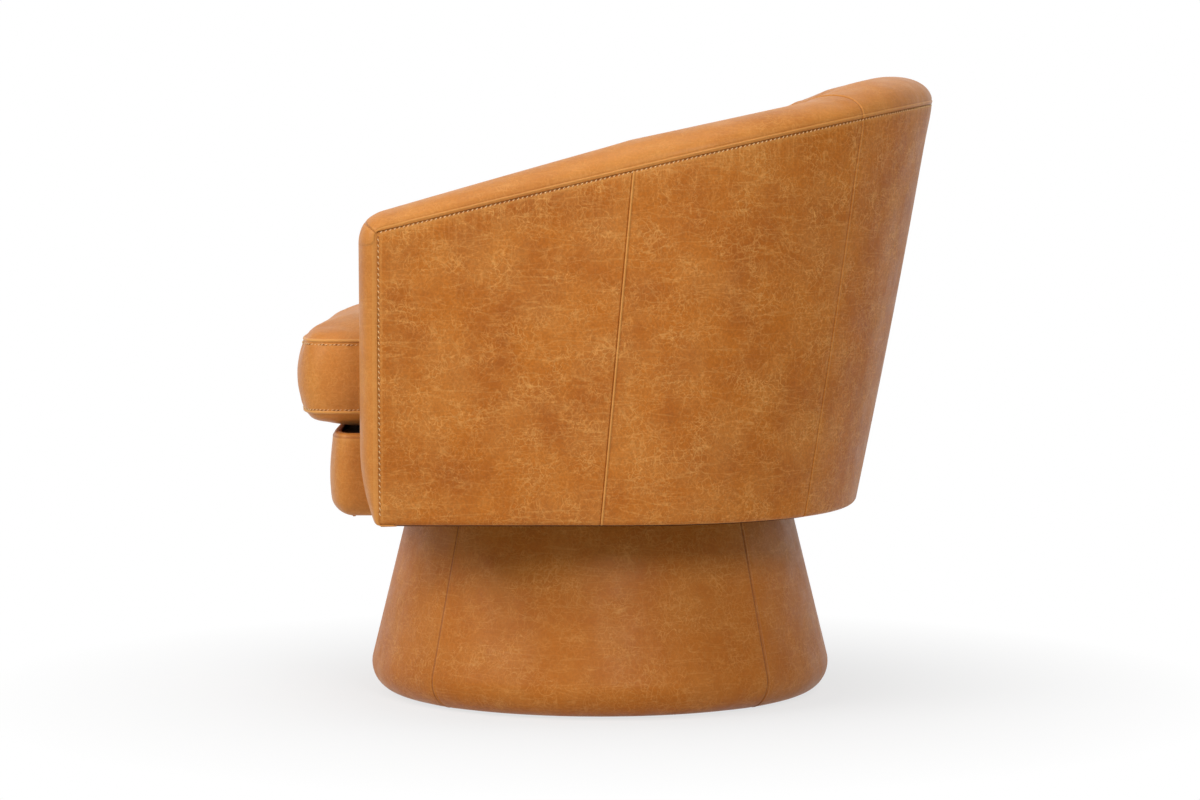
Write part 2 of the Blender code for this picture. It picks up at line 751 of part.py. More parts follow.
def build_swivel(root, cage_axis, seat):
    base, top = SWIVEL_BASE, SWIVEL_TOP
    race_in, race_out = RACE_RADIUS - RACE_WIDTH / 2, RACE_RADIUS + RACE_WIDTH / 2
    middle = (base + top) / 2
    bore = PIVOT_RADIUS + FIT
    low_race, high_race = middle - BALL_RADIUS - FIT, middle + BALL_RADIUS + FIT
    lower = turned("swivel_lower_plate", [
        (SWIVEL_RADIUS, base + SWIVEL_PLATE), (SWIVEL_RADIUS, base), (bore, base),
        (bore, base + SWIVEL_PLATE), (race_in, base + SWIVEL_PLATE), (race_in, low_race),
        (race_out, low_race), (race_out, base + SWIVEL_PLATE),
    ])
    upper = turned("swivel_upper_plate", [
        (SWIVEL_RADIUS, top), (SWIVEL_RADIUS, top - SWIVEL_PLATE), (race_out, top - SWIVEL_PLATE),
        (race_out, high_race), (race_in, high_race), (race_in, top - SWIVEL_PLATE),
        (bore, top - SWIVEL_PLATE), (bore, top),
    ])
    for number, place in enumerate(screw_places()):
        cut(lower, screw_hole(f"lower_hole_{number + 1}", base - OVERCUT, base + OVERCUT, place))
        cut(upper, screw_hole(f"upper_hole_{number + 1}", top - OVERCUT, top + OVERCUT, place))
        screw(f"swivel_lower_screw_{number + 1}", place, base + SWIVEL_PLATE, False, root)
        screw(f"swivel_upper_screw_{number + 1}", place, top - SWIVEL_PLATE, True, seat)
    steel(lower, root)
    steel(upper, seat)

    # The pivot's head hangs in the top board's bore, and its nut stands above the upper plate
    nut_top, head_base = top + FIT + PIVOT_HEAD, base - FIT - PIVOT_HEAD
    pivot = turned("swivel_pivot", [
        (0.0, nut_top), (PIVOT_HEAD_RADIUS, nut_top), (PIVOT_HEAD_RADIUS, top + FIT),
        (PIVOT_RADIUS, top + FIT), (PIVOT_RADIUS, base - FIT),
        (PIVOT_HEAD_RADIUS, base - FIT), (PIVOT_HEAD_RADIUS, head_base), (0.0, head_base),
    ], closed=False)
    steel(pivot, root)

    cage = turned("swivel_ball_cage", [
        (RACE_RADIUS + CAGE_WIDTH / 2, middle + CAGE_THICKNESS / 2),
        (RACE_RADIUS + CAGE_WIDTH / 2, middle - CAGE_THICKNESS / 2),
        (RACE_RADIUS - CAGE_WIDTH / 2, middle - CAGE_THICKNESS / 2),
        (RACE_RADIUS - CAGE_WIDTH / 2, middle + CAGE_THICKNESS / 2),
    ])
    for number, place in enumerate(circle_places(RACE_RADIUS, BALL_COUNT, math.pi / TURN_STEPS)):
        shape = bmesh.new()
        bmesh.ops.create_uvsphere(shape, u_segments=8, v_segments=4, radius=BALL_RADIUS)
        mesh = bpy.data.meshes.new(f"ball_{number + 1}")
        shape.to_mesh(mesh)
        shape.free()
        ball = bpy.data.objects.new(f"ball_{number + 1}", mesh)
        ball.location = (place[0], place[1], middle)
        bpy.context.scene.collection.objects.link(ball)
        cut(cage, ball, "UNION")
    steel(cage, cage_axis)


def build_frame(seat):
    # Seat ring: the wall's foot outline and the seat front, with a hole for the swivel and springs
    sections = tub_stations()
    base = np.full(len(sections.share), SHELL_BASE)
    foot = sections.point(SKIN + FOOT_ROUND, base)[:, :2]
    front = apron_half(RAIL_INSET)
    front[-1, 1] = FRONT_Y
    outer = both_halves(np.concatenate([front, foot]))
    hole_side = sections.point(SEAT_RING_WIDTH, base)[:, :2]
    hole_front = front[0, 1] + SEAT_RING_WIDTH
    hole_side = hole_side[hole_side[:, 1] > hole_front]
    hole = both_halves(np.concatenate([[[0.0, hole_front], [hole_side[0, 0], hole_front]], hole_side]))
    plywood(plate("seat_bottom_ring", outer, RING_BASE, SEAT_RING_THICKNESS, hole), seat)

    # Board across the ring from wall to wall, which carries the swivel
    wall = sections.point(WALL_THICKNESS + SEAM_GAP, base)[:, :2]
    half_depth = SWIVEL_RADIUS + SWIVEL_BOARD_MARGIN
    depths = np.linspace(-half_depth, half_depth, 6)
    side = np.column_stack([np.interp(depths, wall[:, 1], wall[:, 0]), depths])
    outline = np.concatenate([side, side[::-1] * (-1.0, 1.0)])
    board = plate("swivel_board", outline, SWIVEL_BOARD_BASE, SWIVEL_BOARD_THICKNESS)
    cut(board, cylinder("pivot_clearance", PIVOT_HEAD_RADIUS + PIVOT_CLEARANCE,
                        SWIVEL_BOARD_BASE - OVERCUT, SWIVEL_BOARD_THICKNESS + 2 * OVERCUT, 20))
    for number, place in enumerate(screw_places()):
        cut(board, screw_hole(f"upper_pilot_{number + 1}", SWIVEL_BOARD_BASE - OVERCUT,
                              SWIVEL_BOARD_BASE + SCREW_DEPTH + FIT, place))
    plywood(board, seat)

    # Front rail, bent to the seat front, and the rail behind the springs, bent to the back
    sides = []
    for inset in (RAIL_INSET, RAIL_INSET + RAIL_THICKNESS):
        sides.append(np.stack([apron_line(inset, FRAME_BASE), apron_line(inset, RAIL_TOP)], axis=1))
    plywood(block("front_rail", np.stack(sides, axis=1)), seat)
    near = WALL_THICKNESS + SEAM_GAP
    inner = sections.point(near + RAIL_THICKNESS, np.full(len(sections.share), FRAME_BASE))[:, 1]
    start = float(np.interp(half_depth + SEAM_GAP, inner, sections.share))
    half = sections.past(start)
    back = half.joined(half.mirrored())
    plywood(board_block("rear_spring_rail", back, near, near + RAIL_THICKNESS, FRAME_BASE,
                        np.full(len(back.share), RAIL_TOP)), seat)

    # Bent boards that stand on the ring inside the wall
    far = BOARD_INSET + FRAME_BOARD
    arm, back = arm_stations(SEAM_GAP), back_stations(SEAM_GAP)
    for side_name, mirror in (("left", False), ("right", True)):
        item = board_block(f"arm_board_{side_name}", arm, BOARD_INSET, far, FRAME_BASE,
                           arm.welt - BOARD_BELOW_WELT, FRAME_BOARD)
        plywood(mirrored_mesh(item, mirror), seat)
    plywood(board_block("back_board", back, BOARD_INSET, far, FRAME_BASE,
                        back.welt - BOARD_BELOW_WELT), seat)


def mirrored_mesh(item, wanted):
    """Mirrors an object's mesh across the chair's middle, keeping its faces outward."""
    if not wanted:
        return item
    shape = bmesh.new()
    shape.from_mesh(item.data)
    for vertex in shape.verts:
        vertex.co.x = -vertex.co.x
    bmesh.ops.reverse_faces(shape, faces=shape.faces)
    shape.to_mesh(item.data)
    shape.free()
    return item


def build_padding(seat):
    near, far = BOARD_INSET - FIT, BOARD_INSET + FRAME_BOARD + FIT
    arm = arm_stations(SEAM_GAP)
    slot_line = arm.lengthened(OVERCUT, False)
    for side_name, mirror in (("left", False), ("right", True)):
        item = wall_block(f"arm_padding_{side_name}", arm, PAD_INSET, FRAME_BASE, True)
        slot = board_block(f"arm_slot_{side_name}", slot_line, near, far, FRAME_BASE - OVERCUT,
                           slot_line.welt - BOARD_BELOW_WELT + FIT, FRAME_BOARD - FIT)
        foam(cut(mirrored_mesh(item, mirror), mirrored_mesh(slot, mirror)), seat)
    back = back_stations(SEAM_GAP)
    slot_line = back.lengthened(OVERCUT, True)
    slot = board_block("back_slot", slot_line, near, far, FRAME_BASE - OVERCUT,
                       slot_line.welt - BOARD_BELOW_WELT + FIT)
    foam(cut(wall_block("back_padding", back, PAD_INSET, FRAME_BASE, False), slot), seat)


def outside_grid(sections):
    """An outer panel: tucked under the ring, round the foot and up to the welt."""
    base = np.full(len(sections.share), SHELL_BASE)
    rows = [
        sections.point(FOOT_TUCK, base),
        sections.point(FOOT_ROUND, base),
        sections.point(0.0, base + FOOT_ROUND),
    ]
    for share in (0.25, 0.5, 0.75):
        rows.append(sections.point(0.0, base + share * (sections.welt - base)))
    rows.append(sections.point(0.0, sections.welt - BAND_GAP))
    return np.stack(rows, axis=1)


def inside_grid(sections):
    """An inner panel, from its hidden lower edge behind the deck up to the inner welt."""
    rows = []
    for share in np.linspace(0.0, 1.0, 5):
        height = INSIDE_BASE + share * (sections.welt - BAND_GAP - INSIDE_BASE)
        rows.append(sections.point(WALL_THICKNESS, height))
    return np.stack(rows, axis=1)


def facing_grid(sections):
    """The rounded front of an arm, from its foot up to just inside the mitre of the top band."""
    mitre = crown_grid(sections, PAD_INSET, True)[0]
    low = SHELL_BASE + FIT
    rows = []
    for share in FACING_ROWS:
        row = np.empty_like(mitre)
        for column, across in enumerate(ACROSS):
            height = low + share * (mitre[column, 2] - low)
            level = np.full(len(sections.share), height)
            row[column] = sections.point(across * WALL_THICKNESS, level)[0]
            row[column, 1] = arm_front(across, height)
        rows.append(row)
    mitre[:, 1] = arm_front(ACROSS, sections.welt[0])
    return np.stack(rows + [mitre], axis=0)


def build_leather(seat):
    middle = (0.0, 0.0, (SHELL_BASE + RAIL_TOP) / 2)
    outside = (0.0, HEAD_BACK_Y * 4, RAIL_TOP)
    arm = arm_stations(SEAM_GAP)
    front = stations([FRONT, MID_SEAM], [FRONT_STEPS], end_gap=SEAM_GAP / 2)
    rear = stations([MID_SEAM, BACK_SEAM], [REAR_STEPS], SEAM_GAP / 2, SEAM_GAP / 2)
    arm_core = (HEAD_HALF_WIDTH - WALL_THICKNESS / 2, 0.0, SHELL_BASE)
    beside = (HEAD_HALF_WIDTH * 4, HEAD_BACK_Y * 4, RAIL_TOP)
    panels = (
        ("outside_front_panel", outside_grid(front), middle, TAN),
        ("outside_rear_panel", outside_grid(rear), middle, TAN),
        ("top_band", crown_grid(arm, 0.0, True), arm_core, TAN_LIGHT),
        ("inside_panel", inside_grid(arm), beside, TAN),
        ("arm_facing", facing_grid(arm), arm_core, TAN_LIGHT),
    )
    for name, grid, behind, colour in panels:
        leather(sheet(name + "_left", grid, LEATHER, behind), seat, colour)
        other = sheet(name + "_right", grid * MIRROR, LEATHER, np.multiply(behind, MIRROR))
        leather(other, seat, colour)
    back = back_stations(SEAM_GAP)
    leather(sheet("outside_back_panel", outside_grid(back), LEATHER, middle), seat)
    leather(sheet("top_band_back", crown_grid(back, 0.0, False), LEATHER,
                  (0.0, FOOT_BACK_Y, SHELL_BASE)), seat, TAN_LIGHT)
    leather(sheet("inside_back_panel", inside_grid(back), LEATHER, outside), seat)


def apron_profile():
    """Insets and heights down the seat front's face, from its top tuck to its bottom tuck."""
    top, bottom = DECK_TOP, SHELL_BASE
    points = [(APRON_TUCK, top)]
    for angle in np.radians([90, 60, 30, 0]):
        inset = APRON_BULGE + APRON_TOP_ROUND * (1 - math.cos(angle))
        points.append((inset, top - APRON_TOP_ROUND * (1 - math.sin(angle))))
    points.append((0.0, (top + bottom) / 2))
    for angle in np.radians([0, 30, 60, 90]):
        points.append((APRON_ROUND * (1 - math.cos(angle)), bottom + APRON_ROUND * (1 - math.sin(angle))))
    points.append((APRON_ROUND + APRON_TOP_ROUND, bottom))
    return points


def build_seat_front(seat):
    grid = np.stack([apron_line(inset, height) for inset, height in apron_profile()], axis=1)
    behind = (0.0, FRONT_Y, (DECK_TOP + SHELL_BASE) / 2)
    leather(sheet("apron_leather", grid, LEATHER, behind), seat, TAN_LIGHT)

    # Padding between the front rail and the leather
    sides = []
    for inset in (APRON_BULGE + PAD_INSET, RAIL_INSET - FIT):
        sides.append(np.stack([apron_line(inset, FRAME_BASE), apron_line(inset, RAIL_TOP)], axis=1))
    foam(block("apron_padding", np.stack(sides, axis=1)), seat)


def build_springs(seat):
    rail = apron_half(RAIL_INSET)
    back = back_stations(0.0)
    rear = back.point(WALL_THICKNESS + RAIL_THICKNESS / 2, np.full(len(back.share), RAIL_TOP))[:, :2]
    half_span = SPRING_SPREAD * rail[-1, 0] - SPRING_HALF_WIDTH
    for number in range(SPRING_COUNT):
        middle = half_span * (2.0 * number / (SPRING_COUNT - 1) - 1.0)
        front_y = line_at(rail, abs(middle) + SPRING_HALF_WIDTH) + RAIL_THICKNESS / 2
        loop = (line_at(rear, middle) - front_y) / SPRING_LOOPS
        points = spring_points(front_y, loop)
        curve = bpy.data.curves.new(f"seat_spring_{number + 1}", "CURVE")
        curve.dimensions = "3D"
        curve.bevel_depth = SPRING_WIRE
        curve.bevel_resolution = 1
        curve.use_fill_caps = True
        spline = curve.splines.new("POLY")
        spline.points.add(len(points) - 1)
        for point, place in zip(spline.points, points):
            point.co = (place[0], place[1], 0.0, 1.0)
        wire = bpy.data.objects.new(curve.name + "_wire", curve)
        wire.location = (middle, 0.0, SPRING_Z)
        steel(smooth(solid_from_curve(f"seat_spring_{number + 1}", wire)), seat)


def spring_points(front_y, loop):
    """A flat wave of wire: bars across, joined at either side by bends of two points each way."""
    bend, shoulder = SPRING_BEND * loop, SPRING_SHOULDER * SPRING_HALF_WIDTH
    points = []
    for turn in range(SPRING_LOOPS + 1):
        side = 1.0 if turn % 2 else -1.0
        y = front_y + turn * loop
        if turn:
            points.append((side * shoulder, y - bend))
            points.append((side * SPRING_HALF_WIDTH, y - bend / 2))
        else:
            points.append((side * SPRING_HALF_WIDTH, y))
        if turn < SPRING_LOOPS:
            points.append((side * SPRING_HALF_WIDTH, y + bend / 2))
            points.append((side * shoulder, y + bend))
    return points


def build_cloths(seat):
    front = apron_half(APRON_TUCK + SEAM_GAP)
    front[-1, 1] = FRONT_Y
    cloth(plate("seat_deck", tub_outline(front, SEAM_GAP, DECK_BASE), DECK_BASE, DECK_THICKNESS), seat)

    # Dust cover under the ring, round the swivel
    sections = tub_stations()
    side = sections.point(FOOT_ROUND * 2, np.full(len(sections.share), SHELL_BASE))[:, :2]
    outer = both_halves(np.concatenate([[[0.0, side[0, 1]]], side]))
    hole = circle_places(SWIVEL_RADIUS + FOOT_TUCK, TURN_STEPS)
    cloth(plate("dust_cover", outer, SHELL_BASE - FIT - CLOTH, CLOTH, hole), seat)


def cushion_rings(inset):
    """Rings of the cushion's surface from its lowest point to its crown, inside it by an inset."""
    seam_low = CUSHION_BASE + CUSHION_SKIRT + inset
    seam_high = seam_low + CUSHION_BOXING - 2.0 * inset
    middle = (seam_low + seam_high) / 2
    wall_inset = CUSHION_CLEARANCE + inset
    front = front_half(inner_half_width(CUSHION_BASE) - wall_inset, CUSHION_REACH - inset)
    outline = tub_outline(front[:-1], wall_inset, CUSHION_BASE)
    heart = np.array([0.0, (outline[:, 1].min() + outline[:, 1].max()) / 2])

    def ring(share, height, pull):
        away = outline - heart
        size = np.linalg.norm(away, axis=1, keepdims=True)
        plan = heart + away * (share * (size - pull) / size)
        return np.column_stack([plan, np.full(len(plan), height)])

    shares = np.sin(np.linspace(0.0, math.pi / 2, CUSHION_RINGS + 1))[1:-1]
    domes = (1.0 - shares**2) ** CUSHION_DOME
    rings = []
    for share, dome in zip(shares, domes):
        rings.append(ring(share, seam_low - CUSHION_SKIRT * dome, CUSHION_SEAM_INSET))
    rings.append(ring(1.0, seam_low, CUSHION_SEAM_INSET))
    zip_share = ZIP_HALF_HEIGHT / CUSHION_BOXING
    for place in (-BOXING_ROW, -zip_share, zip_share, BOXING_ROW):
        pull = CUSHION_SEAM_INSET * (2 * place) ** 2
        rings.append(ring(1.0, middle + place * (CUSHION_BOXING - 2.0 * inset), pull))
    rings.append(ring(1.0, seam_high, CUSHION_SEAM_INSET))
    for share, dome in zip(shares[::-1], domes[::-1]):
        rings.append(ring(share, seam_high + CUSHION_CROWN * dome, CUSHION_SEAM_INSET))
    low = np.array([*heart, seam_low - CUSHION_SKIRT])
    high = np.array([*heart, seam_high + CUSHION_CROWN])
    return np.stack(rings), low, high


def cushion_mesh(name, inset, slot):
    """The cushion's skin as rings closed by a fan above and below, open at the zip if asked."""
    rings, low, high = cushion_rings(inset)
    count, around = rings.shape[:2]
    points = np.concatenate([rings.reshape(-1, 3), [low, high]])
    index = np.arange(count * around).reshape(count, around)
    wrapped = np.concatenate([index, index[:, :1]], axis=1)
    faces = grid_triangles(wrapped)
    zip_row = CUSHION_RINGS + 1
    if slot:
        allowed = []
        for face in faces:
            rows = {n // around for n in face}
            middle = points[list(face)].mean(axis=0)
            at_back = middle[1] > 0.0 and abs(middle[0]) < ZIP_HALF_LENGTH
            if not (rows == {zip_row, zip_row + 1} and at_back):
                allowed.append(face)
        faces = allowed
    bottom, top = len(points) - 2, len(points) - 1
    for n in range(around):
        after = (n + 1) % around
        faces.append((bottom, int(index[0, after]), int(index[0, n])))
        faces.append((top, int(index[-1, n]), int(index[-1, after])))
    item = mesh_object(name, points, faces)
    shape = bmesh.new()
    shape.from_mesh(item.data)
    bmesh.ops.recalc_face_normals(shape, faces=shape.faces)
    shape.to_mesh(item.data)
    shape.free()
    return item


def build_cushion(cushion):
    cover = cushion_mesh("seat_cushion_cover", 0.0, True)
    solid = cover.modifiers.new("thickness", "SOLIDIFY")
    solid.thickness = LEATHER
    solid.offset = -1.0
    solid.use_even_offset = True
    leather(smooth(cover), cushion, TAN_LIGHT)
    foam(smooth(cushion_mesh("seat_cushion_core", LEATHER + PAD_FIT, False)), cushion)


remove_all()
PARTS = collection(NAME)
CUTTERS = collection(NAME + "_cutters")
ROOT = empty("plinth_base", 0.0)
CAGE_AXIS = empty("ball_cage_axis", SWIVEL_BASE)
SEAT_AXIS = empty("seat_swivel_axis", SWIVEL_BASE)
CUSHION_AXIS = empty("cushion_lift_axis", CUSHION_BASE)
build_plinth(ROOT)
build_swivel(ROOT, CAGE_AXIS, SEAT_AXIS)
build_frame(SEAT_AXIS)
build_padding(SEAT_AXIS)
build_leather(SEAT_AXIS)
build_seat_front(SEAT_AXIS)
build_springs(SEAT_AXIS)
build_cloths(SEAT_AXIS)
build_cushion(CUSHION_AXIS)
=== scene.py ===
import json
import math

import bpy
import numpy as np
from bpy.props import FloatProperty, FloatVectorProperty, PointerProperty
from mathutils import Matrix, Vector


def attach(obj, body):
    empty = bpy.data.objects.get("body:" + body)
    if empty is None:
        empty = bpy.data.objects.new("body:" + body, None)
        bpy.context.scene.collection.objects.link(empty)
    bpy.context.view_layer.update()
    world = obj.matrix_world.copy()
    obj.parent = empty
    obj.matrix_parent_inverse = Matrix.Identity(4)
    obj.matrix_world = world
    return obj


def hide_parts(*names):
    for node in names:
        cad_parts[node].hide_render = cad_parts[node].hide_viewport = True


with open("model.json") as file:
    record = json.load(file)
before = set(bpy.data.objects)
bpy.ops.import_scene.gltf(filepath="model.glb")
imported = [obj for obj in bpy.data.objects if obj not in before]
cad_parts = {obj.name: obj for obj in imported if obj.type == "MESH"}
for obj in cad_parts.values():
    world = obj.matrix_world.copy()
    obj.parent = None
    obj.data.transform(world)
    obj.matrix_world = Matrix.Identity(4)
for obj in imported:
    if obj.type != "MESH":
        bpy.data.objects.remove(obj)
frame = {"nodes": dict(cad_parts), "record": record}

bl_info = {
    "name": "Leather Swivel Accent Chair",
    "version": (1, 0, 0),
    "blender": (4, 5, 0),
    "location": "3D View > Sidebar > Chair",
    "description": "Dresses a swivel armchair's frame in stitched leather and sets up its studio",
    "category": "Object",
}


def linear(code):
    """An sRGB hex colour as linear red, green and blue."""
    srgb = np.array([int(code[start:start + 2], 16) for start in (1, 3, 5)]) / 255
    return tuple(np.where(srgb <= 0.04045, srgb / 12.92, ((srgb + 0.055) / 1.055) ** 2.4).tolist())


# The frame's own measures, in metres

LEATHER_THICKNESS = 0.0012
MIRROR = np.array([-1.0, 1.0, 1.0])
FRONT_Y = -0.2556
FOOT_HALF_WIDTH = 0.360
HEAD_HALF_WIDTH = 0.375
FOOT_BACK_Y = 0.3185
HEAD_BACK_Y = 0.4102
BEND_START_Y = 0.007
BEND_SQUARENESS = 2.3
WALL_THICKNESS = 0.100
SHELL_BASE = 0.2413
INSIDE_BASE = 0.2975
WELT_FRONT = SHELL_BASE + 0.3405
WELT_BACK = SHELL_BASE + 0.491
WELT_EASE = 1.08
WELT_SLOPE = (WELT_BACK - WELT_FRONT) * WELT_EASE / (HEAD_BACK_Y - FRONT_Y)
CROWN_SQUARENESS = 2.2
SKIN = 0.0025
FOOT_ROUND = 0.006
FOOT_TUCK = 0.024
GATHER_REACH = 0.032
FACING_BULGE = 0.0245
FACING_TAPER = 0.092
FACING_TAPER_POWER = 2.2
FACING_LOW_SHARE = 0.20
MID_SEAM = 0.329
BACK_SEAM = 0.660
HEAD_MARKS = (0.0, MID_SEAM, BACK_SEAM, 1.0)
FOOT_MARKS = (0.0, 0.318, 0.655, 1.0)
CROWN_MARKS = (0.0, MID_SEAM, 0.635, 0.75)
CROWN_RISES = (0.0225, 0.0355, 0.0252, 0.0335)
FRONT_SQUARENESS = 7.0
APRON_HALF_WIDTH = 0.2597
APRON_REACH = 0.066
APRON_TOP = 0.3405
CUSHION_BASE = 0.3368
CUSHION_HALF_WIDTH = 0.2642
CUSHION_REACH = 0.1065
CUSHION_CLEARANCE = 0.003
CUSHION_SKIRT = 0.0290
CUSHION_BOXING = 0.0845
SEAM_LOW = CUSHION_BASE + CUSHION_SKIRT
SEAM_HIGH = SEAM_LOW + CUSHION_BOXING
CUSHION_CROWN = 0.053
SEAM_INSET = 0.006
PLINTH_FOOT = 0.0026
PLINTH_LEATHER_TOP = 0.2320
PLINTH_CENTRE = 0.2535
PLINTH_MIDDLE = 0.0370
PLINTH_ROUND = 0.0325
PLINTH_LEAN = math.radians(13.8)


def length_property(name, description, default, least, most):
    """A setting in metres."""
    return FloatProperty(name=name, description=description, default=default, min=least, max=most,
                         unit="LENGTH", precision=4)


def colour_property(name, description, code):
    """A colour setting, given as an sRGB hex colour."""
    return FloatVectorProperty(name=name, description=description, subtype="COLOR", default=linear(code),
                               min=0.0, max=1.0)


class ChairSizes(bpy.types.PropertyGroup):
    """Sizes of the stitching and padding"""

    stitch_pitch: length_property("Stitch pitch", "From one stitch to the next", 0.0054, 0.002, 0.01)
    stitch_length: length_property("Stitch length", "Thread that shows of one stitch", 0.0042, 0.001, 0.009)
    thread: length_property("Thread", "Thickness of the sewing thread", 0.0013, 0.0005, 0.003)
    side_swell: length_property(
        "Side swell", "How far the padding swells a side panel outwards", 0.0025, 0.0, 0.008)
    pucker: length_property(
        "Pucker", "Depth of the small gathers beside a stitched seam", 0.0007, 0.0, 0.003)
    corner_round: length_property(
        "Corner round", "Roundness where an arm's front turns over into its top", 0.032, 0.005, 0.05)
    cushion_swell: length_property(
        "Cushion swell", "Farthest that the filling may push the cushion's cover", 0.024, 0.0, 0.03)


class ChairColours(bpy.types.PropertyGroup):
    """Colours of the leather and its thread"""

    tan: colour_property("Tan", "The leather of the sides and the plinth", "#B96A1C")
    drawn: colour_property("Drawn tan", "Leather that is stretched over a bend, which pales", "#C87F36")
    cloud: colour_property("Cloud", "The darker clouds of dye and wax", "#9B5117")
    # The vein colour also paints the highlight on rubbed seam ridges.
    vein_and_highlight: colour_property("Vein", "The pale lines where the wax has parted", "#DA9A50")
    thread: colour_property("Thread", "The sewing thread", "#ECC48C")
    # The hole colour is painted shade in needle holes and in a seam's depth, with some dark dye of the cut
    # edge.
    hole: colour_property("Hole", "Needle holes and the depth of a seam", "#7E4824")


class ChairStudio(bpy.types.PropertyGroup):
    """The studio's camera and lamps"""

    camera_distance: length_property(
        "Camera distance", "From the chair's axis to the camera", 4.6, 2.0, 10.0)
    camera_height: length_property("Camera height", "Above the floor", 0.6765, 0.1, 3.0)
    camera_dip: FloatProperty(
        name="Camera dip", description="How far the camera looks down",
        default=math.radians(3.90), min=0.0, max=1.0, subtype="ANGLE")
    lens: FloatProperty(
        name="Lens", description="Focal length on a 36 mm sensor", default=110.4, min=20.0,
        max=300.0, unit="CAMERA")
    sky: FloatProperty(
        name="Sky", description="Light that comes evenly from all round", default=0.24, min=0.0,
        max=2.0)


# Mesh tools

def piece(name, vertices, faces, material, body, replaced=()):
    """A mesh object at the origin, in one finish, which rides on a body and stands for CAD nodes."""
    mesh = bpy.data.meshes.new(name)
    mesh.from_pydata(np.asarray(vertices).reshape(-1, 3), [], faces)
    mesh.shade_smooth()
    mesh.materials.append(material)
    item = bpy.data.objects.new(name, mesh)
    bpy.context.scene.collection.objects.link(item)
    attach(item, body)
    if replaced:
        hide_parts(*replaced)
    return item


def grid_faces(rows, columns, closed=False):
    """Quads between the points of a grid, wrapped round both ways where it is closed."""
    edge = 0 if closed else 1
    a, b = np.meshgrid(np.arange(rows - edge), np.arange(columns - edge), indexing="ij")
    ahead, beside = (a + 1) % rows, (b + 1) % columns
    corners = (a * columns + b, ahead * columns + b, ahead * columns + beside, a * columns + beside)
    return np.stack([corner.ravel() for corner in corners], axis=1)


def outward(points, faces, inner):
    """The same quads, turned round if most of them face the inner place or places."""
    corners = np.asarray(points).reshape(-1, 3)[faces]
    normals = np.cross(corners[:, 2] - corners[:, 0], corners[:, 3] - corners[:, 1])
    away = corners.mean(axis=1) - np.broadcast_to(inner, np.shape(points)).reshape(-1, 3)[faces[:, 0]]
    return faces if (normals * away).sum() > 0 else faces[:, ::-1]


def note(item, name, values):
    """Notes values by vertex: wear and painted light from -1, painted shade in a seam's depth, to 1, a
    rubbed ridge paled further by a painted highlight; or gather from 0 to 1.
    """
    attribute = item.data.attributes.new(name, "FLOAT", "POINT")
    attribute.data.foreach_set("value", np.ascontiguousarray(values, np.float32).ravel())


def hide(name, points, marks, inner, material, body, replaced):
    """A leather panel: a grid of points given its thickness inwards."""
    faces = outward(points, grid_faces(*points.shape[:2]), inner)
    item = piece(name, points, faces, material, body, replaced)
    note(item, "wear_and_painted_light", marks)
    solid = item.modifiers.new("Thickness", "SOLIDIFY")
    solid.thickness = LEATHER_THICKNESS
    solid.offset = -1.0
    return item


def padded_hide(name, points, marks, inner, replaced):
    """A panel of pale drawn leather over the seat's padding."""
    item = hide(name, points, marks, inner, finish("drawn_leather"), "seat", replaced)


def curve(distance, pairs):
    """A height read off a line through pairs of distance and height, all in millimetres."""
    places, heights = np.array(pairs).T
    return np.interp(distance, places / 1000, heights / 1000)


def unit(ways):
    """The same ways, each at length 1."""
    return ways / np.maximum(np.linalg.norm(ways, axis=-1, keepdims=True), 1e-9)


def run(line):
    """The distance along a line to each of its points."""
    return np.concatenate([[0.0], np.cumsum(np.linalg.norm(np.diff(line, axis=0), axis=1))])


def read_off(at, length, values):
    """Values that go with the distances along a line, read off at other distances."""
    return np.stack([np.interp(at, length, column) for column in values.T], axis=-1)


def gather(along):
    """An uneven wave from 0 to 1 along a seam: three sines of unrelated lengths, multiplied out."""
    wave = np.sin(along / 0.0017 + 2.0 * np.sin(along / 0.031))
    wave = wave + 0.8 * np.sin(along / 0.0029 + 1.3) + 0.6 * np.sin(along / 0.0071 + 0.4)
    return 0.5 + wave / 4.8


def spaced(length, near, step):
    """Distances from 0 to a length: close together at both ends, then about a step apart."""
    near = np.asarray(near)
    middle = np.linspace(near[-1], length - near[-1], max(2, round((length - 2 * near[-1]) / step)))
    return np.concatenate([near[:-1], middle, (length - near[:-1])[::-1]])


BESIDE_SEAM = np.array([0, 0.3, 0.7, 1.1, 1.6, 2.2, 2.9, 3.7, 4.8, 6.4, 9, 13, 18, 24]) / 1000


def stitch_shape(length, thread):
    """The points and faces of a stitch, a spindle with three five-sided rings and pointed ends.

    Along it t runs from -1 to 1, its radius is half the thread times the root of 1 - t squared, and
    it rises by 1 - t squared, so its ends go under.
    """
    t = np.repeat([-0.72, 0.0, 0.72], 5)
    angle = np.tile(np.arange(5) * math.tau / 5, 3)
    radius = thread / 2 * np.sqrt(1 - t**2)
    rise = thread * (0.75 * (1 - t**2) - 0.35)
    rings = np.column_stack([t * length / 2, rise + radius * np.sin(angle), radius * np.cos(angle)])
    ends = [(-length / 2, -thread / 2, 0.0), (length / 2, -thread / 2, 0.0)]
    ring = np.arange(5)
    after = (ring + 1) % 5
    quads = np.column_stack([ring + 5, after + 5, after, ring])
    first = np.column_stack([np.full(5, 15), ring, after])
    last = np.column_stack([np.full(5, 16), after + 10, ring + 10])
    faces = (np.concatenate([quads, quads + 5]), np.concatenate([first, last]))
    return np.concatenate([rings, ends]), faces


